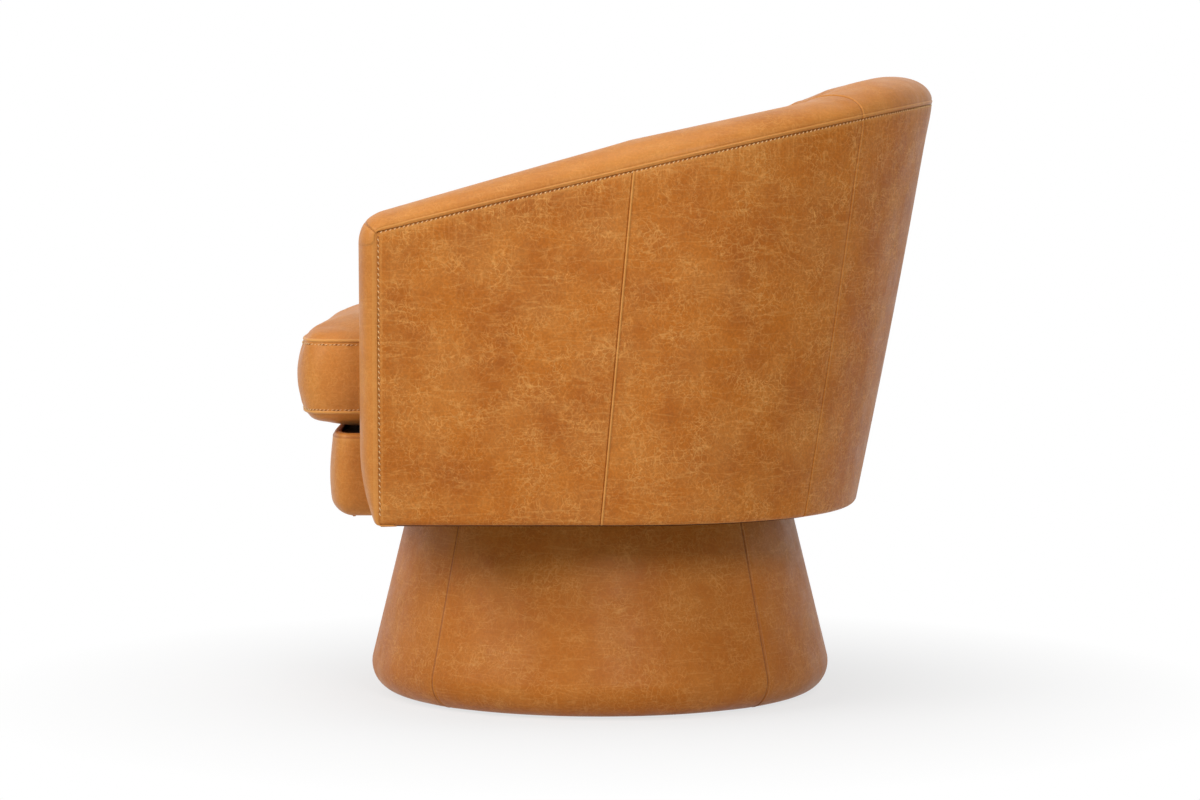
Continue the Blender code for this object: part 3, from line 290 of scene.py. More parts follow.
def hole_shape(thread):
    """The points and faces of a needle hole, a flat six-sided lens 2.2 threads long and 0.8 wide."""
    angle = np.arange(6) * math.tau / 6
    rim = np.column_stack([1.1 * np.cos(angle), 0 * angle, 0.4 * np.sin(angle)])
    poles = [(0.0, 0.3, 0.0), (0.0, -0.3, 0.0)]
    ring = np.arange(6)
    after = (ring + 1) % 6
    above = np.column_stack([ring, after, np.full(6, 6)])
    below = np.column_stack([after, ring, np.full(6, 7)])
    return thread * np.concatenate([rim, poles]), (np.concatenate([above, below]),)


def copies(name, shape, centre, axes, material, body):
    """A small shape repeated, its points given along a stitch, out of the surface and sideways."""
    corners, faces = shape
    points = centre[:, None] + np.einsum("pk,nkc->npc", corners, axes)
    start = len(corners) * np.arange(len(centre))[:, None, None]
    faces = [(start + part).reshape(-1, part.shape[1]).tolist() for part in faces]
    piece(name, points, sum(faces, []), material, body)


def sewn(name, lines, body, slant=30.0, pitch_share=1.0):
    """A stitched seam: its threads, and the dark needle holes midway between them.

    Each line is a path and the surface's outward way along it. Stitches stand at even steps of arc
    length, turned in the surface by the slant, in degrees.
    """
    sizes = bpy.context.scene.chair_sizes
    pitch = sizes.stitch_pitch * pitch_share
    parts = []
    for path, normal in lines:
        length = run(path)
        count = max(1, round(length[-1] / pitch))
        at = (np.arange(count) + 0.5) * length[-1] / count
        place = read_off(at, length, path)
        way = unit(read_off(at + 1e-4, length, path) - place)
        parts.append((place, unit(read_off(at, length, normal)), way))
    centre, normal, way = (np.concatenate(part) for part in zip(*parts))
    turn = math.radians(slant)
    along = math.cos(turn) * way + math.sin(turn) * np.cross(normal, way)
    axes = np.stack([along, normal, np.cross(normal, along)], axis=1)
    stitch = stitch_shape(sizes.stitch_length, sizes.thread)
    copies(name + "_thread", stitch, centre, axes, finish("waxed_thread"), body)
    # Needle holes are flat dark lenses in the hole colour: painted shade of the holes.
    between = centre + way * pitch / 2
    copies(name + "_holes", hole_shape(sizes.thread), between, axes, finish("seam_depth"), body)


RIDGE_HALF_WIDTH = 0.0021
RIDGE_HEIGHT = 0.0018
RIDGE_LIFT = 0.0003


def folded_ridge(name, path, normal):
    """The cushion's folded ridge: an ellipse carried along a loop, lifted a little off the surface."""
    side = np.cross(normal, unit(np.roll(path, -1, axis=0) - np.roll(path, 1, axis=0)))
    angle = np.arange(8) * math.tau / 8
    points = (path[:, None] + side[:, None] * (RIDGE_HALF_WIDTH * np.cos(angle))[:, None]
              + normal[:, None] * (RIDGE_HEIGHT * np.sin(angle) + RIDGE_LIFT)[:, None])
    faces = outward(points, grid_faces(len(path), 8, closed=True), path[:, None])
    item = piece(name, points, faces, finish("drawn_leather"), "cushion")
    # The whole ridge is marked as rubbed: pale, partly a painted highlight.
    note(item, "wear_and_painted_light", np.ones(points.shape[:2]))


# Finishes

def add(material, kind, inputs=None, **settings):
    """Adds a node, sets its properties, sets or links its inputs, and gives its outputs."""
    tree = material.node_tree
    node = tree.nodes.new("ShaderNode" + kind)
    for key, value in settings.items():
        setattr(node, key, value)
    for key, value in (inputs or {}).items():
        if isinstance(value, bpy.types.NodeSocket):
            tree.links.new(value, node.inputs[key])
        else:
            node.inputs[key].default_value = value
    return node.outputs


def blank(name):
    """A material with an empty node tree."""
    material = bpy.data.materials.new(name)
    material.use_nodes = True
    material.node_tree.nodes.clear()
    return material


def shade(material, **inputs):
    """Ends a finish with its shader, whose inputs are named with underscores for spaces."""
    shader = add(material, "BsdfPrincipled", {key.replace("_", " "): value for key, value in inputs.items()})
    add(material, "OutputMaterial", {"Surface": shader[0]})
    return material


def rgba(colour):
    """A colour with full cover as its fourth value."""
    return (*tuple(colour)[:3], 1.0)


def ridges(leather, place, cell, detail, width):
    """Thin wandering lines, where a noise of that cell size passes through its middle value."""
    noise = add(leather, "TexNoise", {"Vector": place, "Scale": 1 / cell, "Detail": detail, "Roughness": 0.5,
                                      "Distortion": 0.4})
    off = add(leather, "Math", {0: noise[0], 1: 0.5}, operation="SUBTRACT")
    off = add(leather, "Math", {0: off[0]}, operation="ABSOLUTE")
    return add(leather, "MapRange", {0: off[0], 1: 0.0, 2: width, 3: 1.0, 4: 0.0})[0]


def patches(leather, place, size, detail, low, high, most):
    """Soft patches of that size: a noise stretched from 0 at its low value to the most at its high one."""
    values = {"Vector": place, "Scale": 1 / size, "Detail": detail, "Roughness": 0.6}
    noise = add(leather, "TexNoise", values)
    return add(leather, "MapRange", {0: noise[0], 1: low, 2: high, 3: 0.0, 4: most})[0]


def sums(leather, shares):
    """The sum of values, each times its own weight."""
    total = 0.0
    for value, weight in shares:
        total = add(leather, "Math", {0: value, 1: weight, 2: total}, operation="MULTIPLY_ADD")[0]
    return total


def pull_up_leather(name, base, cloud_share, vein_share, gloss, sheen, grain):
    """Tan pull-up leather: aniline dyed, waxed, so it pales where it is bent or rubbed. Marks by vertex also
    give seam ridges a painted highlight and seam depths painted shade.

    To the eye: soft darker and paler clouds some 60 mm across, fine pale lines that wander and
    close into cells of 24, 11 and 10 mm and come and go in patches, faint level creases, upright
    creases under a gathered seam, speckle of 3 mm and a satin waxy gloss.
    """
    colours = bpy.context.scene.chair_colours
    leather = blank(name)
    place = add(leather, "TexCoord")["Object"]
    other = add(leather, "VectorMath", {0: place, 1: (3.1, 1.7, 2.3)}, operation="ADD")[0]
    pale = patches(leather, other, 0.060, 5.0, 0.42, 0.64, 1.0)
    bend = add(leather, "TexNoise", {"Vector": place, "Scale": 1 / 0.02, "Detail": 3.0})[1]
    bent = add(leather, "VectorMath", {0: bend, 1: (0.012, 0.012, 0.012), 2: place},
               operation="MULTIPLY_ADD")[0]
    cells = add(leather, "TexVoronoi", {"Vector": bent, "Scale": 1 / 0.010}, feature="DISTANCE_TO_EDGE")[0]
    lines = add(leather, "MapRange", {0: cells, 1: 0.0, 2: 0.055, 3: 0.6, 4: 0.0})[0]
    for finer in (ridges(leather, place, 0.024, 2.0, 0.021), ridges(leather, other, 0.011, 2.0, 0.032)):
        lines = add(leather, "Math", {0: finer, 1: lines}, operation="MAXIMUM")[0]
    some = patches(leather, other, 0.034, 4.0, 0.32, 0.66, 1.0)
    veins = add(leather, "Math", {0: lines, 1: some}, operation="MULTIPLY")[0]
    level = add(leather, "Mapping", {"Vector": place, "Scale": (0.14, 0.14, 1.0)})[0]
    creases = ridges(leather, level, 0.012, 2.0, 0.022)
    upright = add(leather, "Mapping", {"Vector": place, "Scale": (1.0, 1.0, 0.12)})[0]
    drawn = add(leather, "Attribute", attribute_name="gather")["Fac"]
    gathers = ridges(leather, upright, 0.009, 2.0, 0.05)
    gathers = add(leather, "Math", {0: gathers, 1: drawn}, operation="MULTIPLY")[0]
    share = sums(leather, ((pale, 0.26 * vein_share), (veins, 0.80 * vein_share),
                           (creases, 0.34 * vein_share), (gathers, 0.32)))
    cloud = patches(leather, place, 0.070, 6.0, 0.40, 0.68, cloud_share)
    speckle = patches(leather, place, 0.0030, 2.0, 0.3, 0.7, grain)
    speckle = add(leather, "Math", {0: speckle, 1: 1.0 - grain / 2}, operation="ADD")[0]
    # Marks by vertex: above 0 the colour pales towards the vein colour, rubbed wear plus a painted highlight
    # on ridges; below 0 it darkens towards the hole colour, painted shade in a seam's depth.
    mark = add(leather, "Attribute", attribute_name="wear_and_painted_light")["Fac"]
    rubbed = add(leather, "MapRange", {0: mark, 1: 0.0, 2: 1.0, 3: 0.0, 4: 0.85})[0]
    seam_shade = add(leather, "MapRange", {0: mark, 1: -1.0, 2: 0.0, 3: 0.85, 4: 0.0})[0]
    colour = rgba(base)
    for amount, tint in ((cloud, colours.cloud), (share, colours.vein_and_highlight)):
        colour = add(leather, "Mix", {0: amount, 6: colour, 7: rgba(tint)}, data_type="RGBA")[2]
    colour = add(leather, "VectorMath", {0: colour, "Scale": speckle}, operation="SCALE")[0]
    for amount, tint in ((rubbed, colours.vein_and_highlight), (seam_shade, colours.hole)):
        colour = add(leather, "Mix", {0: amount, 6: colour, 7: rgba(tint)}, data_type="RGBA")[2]

    wax = patches(leather, place, 0.03, 5.0, 0.3, 0.7, 0.14)
    wax = add(leather, "Math", {0: wax, 1: gloss - 0.06}, operation="ADD")[0]
    bump = add(leather, "Bump", {"Height": share, "Strength": 0.4, "Distance": 0.0006}, invert=True)[0]
    roll = add(leather, "TexNoise", {"Vector": place, "Scale": 1 / 0.035, "Detail": 3.0})[0]
    bump = add(leather, "Bump", {"Height": roll, "Strength": 0.45, "Distance": 0.0030, "Normal": bump})[0]
    # Real pores are 0.5 mm apart; they are drawn 1.8 mm apart so that they show.
    pore = add(leather, "TexVoronoi", {"Vector": place, "Scale": 1 / 0.0018, "Smoothness": 0.6},
               feature="SMOOTH_F1")["Distance"]
    bump = add(leather, "Bump", {"Height": pore, "Strength": 0.35, "Distance": 0.00025, "Normal": bump})[0]
    return shade(leather, Base_Color=colour, Roughness=wax, Normal=bump, IOR=1.27 + sheen,
                 Sheen_Weight=sheen, Sheen_Roughness=0.4)


def waxed_thread():
    """Waxed polyester thread, three strands twisted: pale, matt, with slanting strands 0.6 mm apart."""
    thread = blank("waxed_thread")
    place = add(thread, "TexCoord")["Object"]
    strand = add(thread, "TexWave", {"Vector": place, "Scale": 1 / 0.0036, "Distortion": 1.0},
                 bands_direction="DIAGONAL")
    shine = add(thread, "MapRange", {0: strand["Fac"], 1: 0.0, 2: 1.0, 3: 0.80, 4: 1.05})
    colour = add(thread, "VectorMath", {0: tuple(bpy.context.scene.chair_colours.thread),
                                        "Scale": shine[0]}, operation="SCALE")
    bump = add(thread, "Bump", {"Height": strand["Fac"], "Strength": 0.4, "Distance": 0.0002})
    return shade(thread, Base_Color=colour[0], Roughness=0.62, Normal=bump[0])


def seam_depth():
    """The cut and punched edge of the leather, dark with dye and shadow, and rough."""
    edge = blank("seam_depth")
    place = add(edge, "TexCoord")["Object"]
    fibre = add(edge, "TexNoise", {"Vector": place, "Scale": 1 / 0.001, "Detail": 3.0})
    shine = add(edge, "MapRange", {0: fibre[0], 1: 0.3, 2: 0.7, 3: 0.8, 4: 1.2})
    colour = add(edge, "VectorMath", {0: tuple(bpy.context.scene.chair_colours.hole),
                                      "Scale": shine[0]}, operation="SCALE")
    return shade(edge, Base_Color=colour[0], Roughness=0.85)


def birch_plywood():
    """Birch plywood, rotary cut: pale, matt, with plies 1.4 mm thick at an edge and long soft grain."""
    ply = blank("birch_plywood")
    place = add(ply, "TexCoord")["Object"]
    stretch = add(ply, "Mapping", {"Vector": place, "Scale": (0.12, 1.0, 1.0)})
    grain = add(ply, "TexNoise", {"Vector": stretch[0], "Scale": 1 / 0.006, "Detail": 6.0})
    colour = add(ply, "Mix", {0: grain[0], 6: rgba(linear("#D9B98A")), 7: rgba(linear("#B98D58"))},
                 data_type="RGBA")
    height = add(ply, "SeparateXYZ", {0: place})["Z"]
    plies = add(ply, "Math", {0: height, 1: math.tau / 0.0028}, operation="MULTIPLY")
    plies = add(ply, "Math", {0: plies[0]}, operation="SINE")
    edge = add(ply, "MapRange", {0: plies[0], 1: -0.2, 2: 0.4, 3: 0.72, 4: 1.0})
    tone = add(ply, "Mix", {0: 0.6, 2: 1.0, 3: edge[0]})
    colour = add(ply, "VectorMath", {0: colour[2], "Scale": tone[0]}, operation="SCALE")
    bump = add(ply, "Bump", {"Height": grain[0], "Strength": 0.3, "Distance": 0.0003})
    return shade(ply, Base_Color=colour[0], Roughness=0.65, Normal=bump[0])


def zinc_plate():
    """Zinc-plated pressed steel: cool grey, with a faint spangle some 8 mm across and rolling marks."""
    zinc = blank("zinc_plate")
    place = add(zinc, "TexCoord")["Object"]
    spangle = add(zinc, "TexVoronoi", {"Vector": place, "Scale": 1 / 0.008})
    rough = add(zinc, "MapRange", {0: spangle["Distance"], 1: 0.0, 2: 0.8, 3: 0.28, 4: 0.42})
    tone = add(zinc, "SeparateXYZ", {0: spangle["Color"]})
    tone = add(zinc, "MapRange", {0: tone[0], 1: 0.0, 2: 1.0, 3: 0.9, 4: 1.05})
    colour = add(zinc, "VectorMath", {0: linear("#B4B6B8"), "Scale": tone[0]}, operation="SCALE")
    mark = add(zinc, "TexNoise", {"Vector": place, "Scale": 1 / 0.0012, "Detail": 2.0})
    bump = add(zinc, "Bump", {"Height": mark[0], "Strength": 0.15, "Distance": 0.0001})
    return shade(zinc, Base_Color=colour[0], Metallic=1.0, Roughness=rough[0], Normal=bump[0])


def moulded_nylon():
    """Moulded black nylon: even, nearly black, satin, with a fine spark-eroded grain of 0.8 mm."""
    nylon = blank("moulded_nylon")
    place = add(nylon, "TexCoord")["Object"]
    grain = add(nylon, "TexNoise", {"Vector": place, "Scale": 1 / 0.0008, "Detail": 2.0})
    rough = add(nylon, "MapRange", {0: grain[0], 1: 0.3, 2: 0.7, 3: 0.40, 4: 0.52})
    colour = add(nylon, "Mix", {0: grain[0], 6: rgba(linear("#1A1A1B")), 7: rgba(linear("#242425"))},
                 data_type="RGBA")
    bump = add(nylon, "Bump", {"Height": grain[0], "Strength": 0.25, "Distance": 0.0001})
    return shade(nylon, Base_Color=colour[2], Roughness=rough[0], Normal=bump[0])


def black_deck_cloth():
    """Black spun polypropylene cloth: matt, with a crossed weave of threads 1.6 mm apart."""
    cloth = blank("black_deck_cloth")
    place = add(cloth, "TexCoord")["Object"]
    warp = add(cloth, "TexWave", {"Vector": place, "Scale": 1 / 0.010}, bands_direction="X")
    weft = add(cloth, "TexWave", {"Vector": place, "Scale": 1 / 0.010}, bands_direction="Y")
    weave = add(cloth, "Math", {0: warp["Fac"], 1: weft["Fac"]}, operation="MULTIPLY")
    colour = add(cloth, "Mix", {0: weave[0], 6: rgba(linear("#111111")), 7: rgba(linear("#2A2928"))},
                 data_type="RGBA")
    bump = add(cloth, "Bump", {"Height": weave[0], "Strength": 0.5, "Distance": 0.0004})
    return shade(cloth, Base_Color=colour[2], Roughness=0.9, Normal=bump[0])


def finish(name):
    """The finish of that name, made the first time that it is asked for."""
    if name in bpy.data.materials:
        return bpy.data.materials[name]
    colours = bpy.context.scene.chair_colours
    if name == "side_leather":
        return pull_up_leather(name, colours.tan, 0.60, 0.80, 0.48, 0.02, 0.26)
    if name == "drawn_leather":
        return pull_up_leather(name, colours.drawn, 0.34, 0.55, 0.44, 0.03, 0.12)
    if name == "plinth_leather":
        return pull_up_leather(name, colours.tan, 0.30, 0.60, 0.46, 0.04, 0.14)
    return {"waxed_thread": waxed_thread, "seam_depth": seam_depth, "birch_plywood": birch_plywood,
            "zinc_plate": zinc_plate, "moulded_nylon": moulded_nylon,
            "black_deck_cloth": black_deck_cloth}[name]()


# The tub's wall

def outline(half_width, back_y, share):
    """Plan places by share: 0 at the left arm's front, 1 at the back's middle, 2 at the right arm's.

    Straight from the front to where the bend starts, then a quarter of a superellipse,
    |x / half width| ^ n + |y / depth| ^ n = 1, and the mirror image of both past the middle.
    """
    turn = np.linspace(0.0, math.pi / 2, 2001)
    power = 2.0 / BEND_SQUARENESS
    bend = np.column_stack([half_width * np.cos(turn) ** power,
                            BEND_START_Y + (back_y - BEND_START_Y) * np.sin(turn) ** power])
    line = np.concatenate([[(half_width, FRONT_Y)], bend])
    length = run(line)
    share = np.clip(share, 0.0, 2.0)
    place = read_off(np.where(share > 1, 2 - share, share) * length[-1], length, line)
    place[..., 0] *= np.where(share > 1, -1.0, 1.0)
    return place


HALF_LENGTH = run(outline(HEAD_HALF_WIDTH, HEAD_BACK_Y, np.linspace(0, 1, 2001)))[-1]


def wall(share):
    """The wall's foot and head in plan, its outward way, and its welt and crown heights, by share."""
    half = np.where(share > 1, 2 - share, share)
    foot = np.interp(half, HEAD_MARKS, FOOT_MARKS)
    foot = outline(FOOT_HALF_WIDTH, FOOT_BACK_Y, np.where(share > 1, 2 - foot, foot))
    head = outline(HEAD_HALF_WIDTH, HEAD_BACK_Y, share)
    before, ahead = (outline(HEAD_HALF_WIDTH, HEAD_BACK_Y, share + step) for step in (-0.01, 0.01))
    way = unit(ahead - before)
    out = np.stack([way[:, 1], -way[:, 0]], axis=1)
    fall = (HEAD_BACK_Y - head[:, 1]) / (HEAD_BACK_Y - FRONT_Y)
    welt = WELT_BACK - (WELT_BACK - WELT_FRONT) * fall**WELT_EASE
    return foot, head, out, welt, np.interp(half, CROWN_MARKS, CROWN_RISES)


def wall_point(share, inset, height):
    """Points of the wall: foot and head blended by height, moved in by an inset. Stations by rows."""
    foot, head, out, welt, _ = wall(share)
    rise = np.clip((height - SHELL_BASE) / (welt - SHELL_BASE)[:, None], 0.0, 1.0)[..., None]
    plan = foot[:, None] + (head - foot)[:, None] * rise - inset[..., None] * out[:, None]
    return np.concatenate([plan, height[..., None]], axis=2)


def swell(across):
    """Crown height across the wall: (1 - |2a - 1| ^ n) ^ (1 / n), 0 at either welt and 1 between."""
    return (1.0 - np.abs(2.0 * across - 1.0) ** CROWN_SQUARENESS) ** (1.0 / CROWN_SQUARENESS)


def bulged(across, amount=1.0):
    """Shares across the wall, spread by 5% of the swell's root, so that padding stands over the welts."""
    return 0.5 + (across - 0.5) * (1.0 + 0.05 * np.sqrt(swell(across)) * amount)


def arm_front(across, height):
    """How far forward an arm's face lies: its bulge times the swell, drawn in near its foot."""
    below = np.clip((SHELL_BASE + FACING_TAPER - height) / FACING_TAPER, 0.0, 1.0)
    left = 1.0 - (1.0 - FACING_LOW_SHARE) * below**FACING_TAPER_POWER
    return FRONT_Y - SKIN - (FACING_BULGE - SKIN) * swell(across) * left


# Millimetres below the top welt, above it or away from a seam, and millimetres out of the surface
WELT_FOLD = ((0, -0.9), (0.4, -0.4), (0.9, -0.3), (1.5, -0.2), (2.1, 0.3), (2.9, 0.8), (4.2, 0.9), (8, 1.0),
             (15, 1.1), (24, 0.8), (45, 0.2), (80, 0))
BAND_FOLD = ((0, 0), (0.8, 0.1), (1.8, 0.1), (2.6, 0.3), (3.4, 0.8), (4.0, 0.6), (4.6, -0.1), (5.2, -0.3),
             (6.2, 0), (9, 0.1), (14, 0))
PLAIN_EDGE = ((0, -1.0), (0.3, -0.3), (0.7, 0), (1.5, 0.1), (3, 0.3), (8, 0.5), (20, 0.2), (40, 0))
FOLDED_EDGE = ((0, -0.7), (0.3, 0.1), (0.7, 0.8), (1.3, 1.2), (2.0, 1.1), (2.6, 0.5), (3.2, 0), (4, 0.15),
               (8, 0.45), (20, 0.2), (40, 0))
FRONT_EDGE = ((0, -0.1), (0.5, 0.1), (1.2, 0), (1.9, -0.1), (2.6, 0), (3.4, 0.3), (6, 0.7), (12, 0.9),
              (24, 0.4), (40, 0))
MITRE_EDGE = ((0, -0.2), (0.4, 0), (1.0, 0.25), (4, 0.3), (12, 0))

# The same distances, and thousandths of wear and painted light: below 0 painted shade in a seam's depth,
# above it a rubbed ridge, paler with a painted highlight
WELT_WEAR_AND_PAINTED_LIGHT = ((0, -260), (0.5, -200), (0.9, 0), (1.7, 100), (2.4, 500), (3.8, 400), (5.2, 150), (8, 0))
BAND_WEAR_AND_PAINTED_LIGHT = ((0, -300), (0.8, -150), (1.6, 0), (2.6, 300), (3.1, 850), (3.9, 800), (4.4, 0), (4.9, -220),
             (5.5, -180), (6.2, 100), (9, 0))
PLAIN_WEAR_AND_PAINTED_LIGHT = ((0, -380), (0.4, -250), (0.8, 0), (1.6, 100), (3, 100), (6, 0))
FOLDED_WEAR_AND_PAINTED_LIGHT = ((0, -420), (0.3, 300), (0.6, 900), (2.2, 900), (2.8, 200), (3.4, -100), (4.5, 0))
SOFT_WEAR_AND_PAINTED_LIGHT = ((0, -450), (0.4, 0), (0.9, 420), (2.0, 420), (2.8, 0), (3.4, -60), (4.5, 0))
FRONT_WEAR_AND_PAINTED_LIGHT = ((0, 0), (0.6, 250), (2.8, 250), (3.8, 350), (6, 0))
MITRE_WEAR_AND_PAINTED_LIGHT = ((0, -300), (0.5, 0), (0.9, 400), (1.8, 350), (3.5, 0))
APRON_WEAR_AND_PAINTED_LIGHT = ((3.2, 0), (4.4, -100), (4.9, -500), (5.5, -550), (5.9, -100), (6.5, 650), (7.6, 550), (10, 0))
PLINTH_WEAR_AND_PAINTED_LIGHT = ((0, -520), (1.3, -420), (1.9, 100), (2.6, 160), (3.6, 0))

# A seam's kind: the fold beside it and the wear and painted light on that fold
PLAIN = (PLAIN_EDGE, PLAIN_WEAR_AND_PAINTED_LIGHT)
FOLDED = (FOLDED_EDGE, FOLDED_WEAR_AND_PAINTED_LIGHT)
SOFT = (FOLDED_EDGE, SOFT_WEAR_AND_PAINTED_LIGHT)
FRONT = (FRONT_EDGE, FRONT_WEAR_AND_PAINTED_LIGHT)

SEAM_GAP = 0.0003
EDGE_GAP = 0.0005
WELT_GAP = 0.0004
STITCH_BELOW_WELT = 0.0013
STITCH_BEHIND_FRONT = 0.0012


def panel_rows(share, base, foot_rows):
    """Heights up a panel, by station: its foot, then even steps, then close rows below the welt."""
    top = np.array([66, 52, 40, 30, 22, 16, 12, 9.6, 8.0, 6.8, 5.8, 5.0, 4.4, 3.9, 3.4, 3.0, 2.6, 2.2, 1.9,
                    1.6, 1.3, 1.0, 0.75, 0.5, 0.3, 0.15, 0.0]) / 1000
    high = wall(share)[3][:, None] - WELT_GAP - top
    low = np.broadcast_to(base + foot_rows, (len(share), len(foot_rows)))
    middle = low[:, -1:] + (high[:, :1] - low[:, -1:]) * np.linspace(0, 1, 26)[1:-1]
    return np.concatenate([low, middle, high], axis=1)


def stronger(mark, other):
    """Of two marks of wear and painted light, the one farther from 0."""
    return np.where(np.abs(other) > np.abs(mark), other, mark)


def relief(share, height, base, sides=()):
    """How far a panel's face stands out of the wall's, its wear and painted light, and its distance below
    the welt.

    It is the fold under the welt plus the fold at each side seam, a sine swell up its height, less
    gathers that fade with the distance below the stitches. Sides are distances with a seam's kind.
    """
    sizes = bpy.context.scene.chair_sizes
    welt = wall(share)[3][:, None] - WELT_GAP
    below = welt - height
    fold, mark = curve(below, WELT_FOLD), curve(below, WELT_WEAR_AND_PAINTED_LIGHT)
    for distance, (edge, wear_and_painted_light) in sides:
        distance = (distance - SEAM_GAP)[:, None]
        fold = fold + curve(distance, edge) * np.clip(below / 0.004, 0.0, 1.0)
        mark = stronger(mark, curve(distance, wear_and_painted_light))
    fold = fold + sizes.side_swell * np.sin(math.pi * np.clip((height - base) / (welt - base), 0, 1))
    wave = gather(share[:, None] * HALF_LENGTH)
    fold = fold - sizes.pucker * wave * np.exp(-np.abs(below - 0.005) / 0.011) * (below > 0.003)
    return fold, mark, below


def build_panel(node, start, end, start_seam, end_seam, inner=False):
    """One leather panel of the wall between two seams, outside or inside."""
    length = (end - start) * HALF_LENGTH
    beside = spaced(length, BESIDE_SEAM, 0.0045)
    share = start + beside / HALF_LENGTH
    sides = ((beside, start_seam), (length - beside, end_seam))
    if inner:
        height = panel_rows(share, INSIDE_BASE, np.array([0.0, 0.004]))
        fold, mark, below = relief(share, height, INSIDE_BASE, sides)
        points = wall_point(share, WALL_THICKNESS + fold, height)
        behind = wall_point(share, np.full_like(height, WALL_THICKNESS / 2), height)
    else:
        turn = np.radians(np.linspace(-90, 0, 7))
        height = panel_rows(share, SHELL_BASE, FOOT_ROUND * (1 + np.sin(turn)))
        fold, mark, below = relief(share, height, SHELL_BASE, sides)
        fold[:, :7] -= FOOT_ROUND * (1 - np.cos(turn))
        points = wall_point(share, -fold, height)
        tuck = points[:, :1].copy()
        tuck[:, 0, :2] -= FOOT_TUCK * wall(share)[2]
        points = np.concatenate([tuck, points], axis=1)
        mark, below = (np.concatenate([row[:, :1], row], axis=1) for row in (mark, below))
        behind = wall_point(share, np.full_like(points[..., 2], WALL_THICKNESS / 2), points[..., 2] + 0.01)
    item = hide(node + "_hide", points, mark, behind, finish("side_leather"), "seat", [node])
    note(item, "gather", np.exp(-below / GATHER_REACH))


def welt_line(start, end, inner):
    """A line on the panels' faces under the welt, with the surface's outward way, for a stitch row."""
    share = np.linspace(start, end, max(30, int((end - start) * HALF_LENGTH / 0.002)))
    _, _, out, welt, _ = wall(share)
    height = (welt - WELT_GAP - STITCH_BELOW_WELT)[:, None]
    fold = relief(share, height, INSIDE_BASE if inner else SHELL_BASE)[0]
    path = wall_point(share, WALL_THICKNESS + fold if inner else -fold, height)[:, 0]
    return path, np.column_stack([out, np.zeros(len(out))]) * (-1.0 if inner else 1.0)


class CHAIR_OT_outside_panels(bpy.types.Operator):
    """Makes the five leather panels round the outside of the tub, with their folded seams"""

    bl_idname = "chair.outside_panels"
    bl_label = "Outside Panels"

    def execute(self, context):
        for node, start, end, start_seam, end_seam in (
                ("outside_front_panel_left", 0.0, MID_SEAM, FRONT, PLAIN),
                ("outside_rear_panel_left", MID_SEAM, BACK_SEAM, FOLDED, PLAIN),
                ("outside_back_panel", BACK_SEAM, 2 - BACK_SEAM, SOFT, SOFT),
                ("outside_rear_panel_right", 2 - BACK_SEAM, 2 - MID_SEAM, PLAIN, FOLDED),
                ("outside_front_panel_right", 2 - MID_SEAM, 2.0, PLAIN, FRONT)):
            build_panel(node, start, end, start_seam, end_seam)
        sewn("outside_welt", [welt_line(0.002, 1.998, False)], "seat", 40.0)
        distance = np.array([STITCH_BEHIND_FRONT])
        share = distance / HALF_LENGTH
        height = np.linspace(SHELL_BASE + 0.010, WELT_FRONT - 0.006, 120)[None]
        fold = relief(share, height, SHELL_BASE, ((distance, FRONT),))[0]
        path = wall_point(share, -fold, height)[0]
        out = np.broadcast_to((1.0, 0.0, 0.0), path.shape)
        sewn("arm_front_seam", [(path, out), (path[::-1] * MIRROR, out * MIRROR)], "seat", 32.0, 1.22)
        return {"FINISHED"}


class CHAIR_OT_inside_panels(bpy.types.Operator):
    """Makes the three leather panels that line the tub"""

    bl_idname = "chair.inside_panels"
    bl_label = "Inside Panels"

    def execute(self, context):
        build_panel("inside_panel_left", 0.0, BACK_SEAM, PLAIN, PLAIN, inner=True)
        build_panel("inside_back_panel", BACK_SEAM, 2 - BACK_SEAM, SOFT, SOFT, inner=True)
        build_panel("inside_panel_right", 2 - BACK_SEAM, 2.0, PLAIN, PLAIN, inner=True)
        sewn("inside_welt", [welt_line(0.004, 1.996, True)], "seat", -40.0)
        return {"FINISHED"}


ROUND_STEPS = 9
LEAD_STEPS = 6
CORNER_LEAST = 0.003
FACING_FOOT_ROUND = 0.004
FACING_OUTER_ROLL = ((-0.0006, 0.0026, 0.0), (-0.0002, 0.0020, 0.0), (0.0, 0.0010, 0.0))
FACING_INNER_ROLL = ((0.0, 0.0010, 0.0), (0.0003, 0.0020, 0.0), (0.0006, 0.0026, 0.0))


def crown_point(across, along):
    """The crown of the left arm by distance behind its front edge, ahead of it where negative.

    Height is the welt plus the crown times the swell. Ahead of the edge the surface runs on
    straight at the welt's slope. The sides bulge a little over the welts.
    """
    share = np.clip(along, 0.0, None) / HALF_LENGTH
    _, _, _, welt, crown = wall(share)
    height = welt + crown * swell(across)
    point = wall_point(share, (bulged(across) * WALL_THICKNESS)[:, None], height[:, None])[:, 0]
    ahead = np.clip(along, None, 0.0)
    point[:, 1] += ahead
    point[:, 2] += ahead * WELT_SLOPE
    return point


def corner_radius(across):
    """Radius of the rounding over an arm's front: least at the welts, more by the root of the swell."""
    most = bpy.context.scene.chair_sizes.corner_round
    return CORNER_LEAST + (most - CORNER_LEAST) * np.sqrt(swell(across))


def arm_corner(across, steps):
    """The rounding from an arm's face up into its top: a quadratic curve from the face to the crown.

    Its corner point is where the face would meet the crown; it starts a radius below that and ends
    a radius behind it. The mitre seam runs along its middle.
    """
    behind = arm_front(across, WELT_FRONT) - FRONT_Y
    radius = corner_radius(across)
    corner = crown_point(across, behind)
    end = crown_point(across, behind + radius)
    start = corner.copy()
    start[:, 2] -= radius
    t = steps[:, None, None]
    return (1 - t) ** 2 * start + 2 * t * (1 - t) * corner + t**2 * end


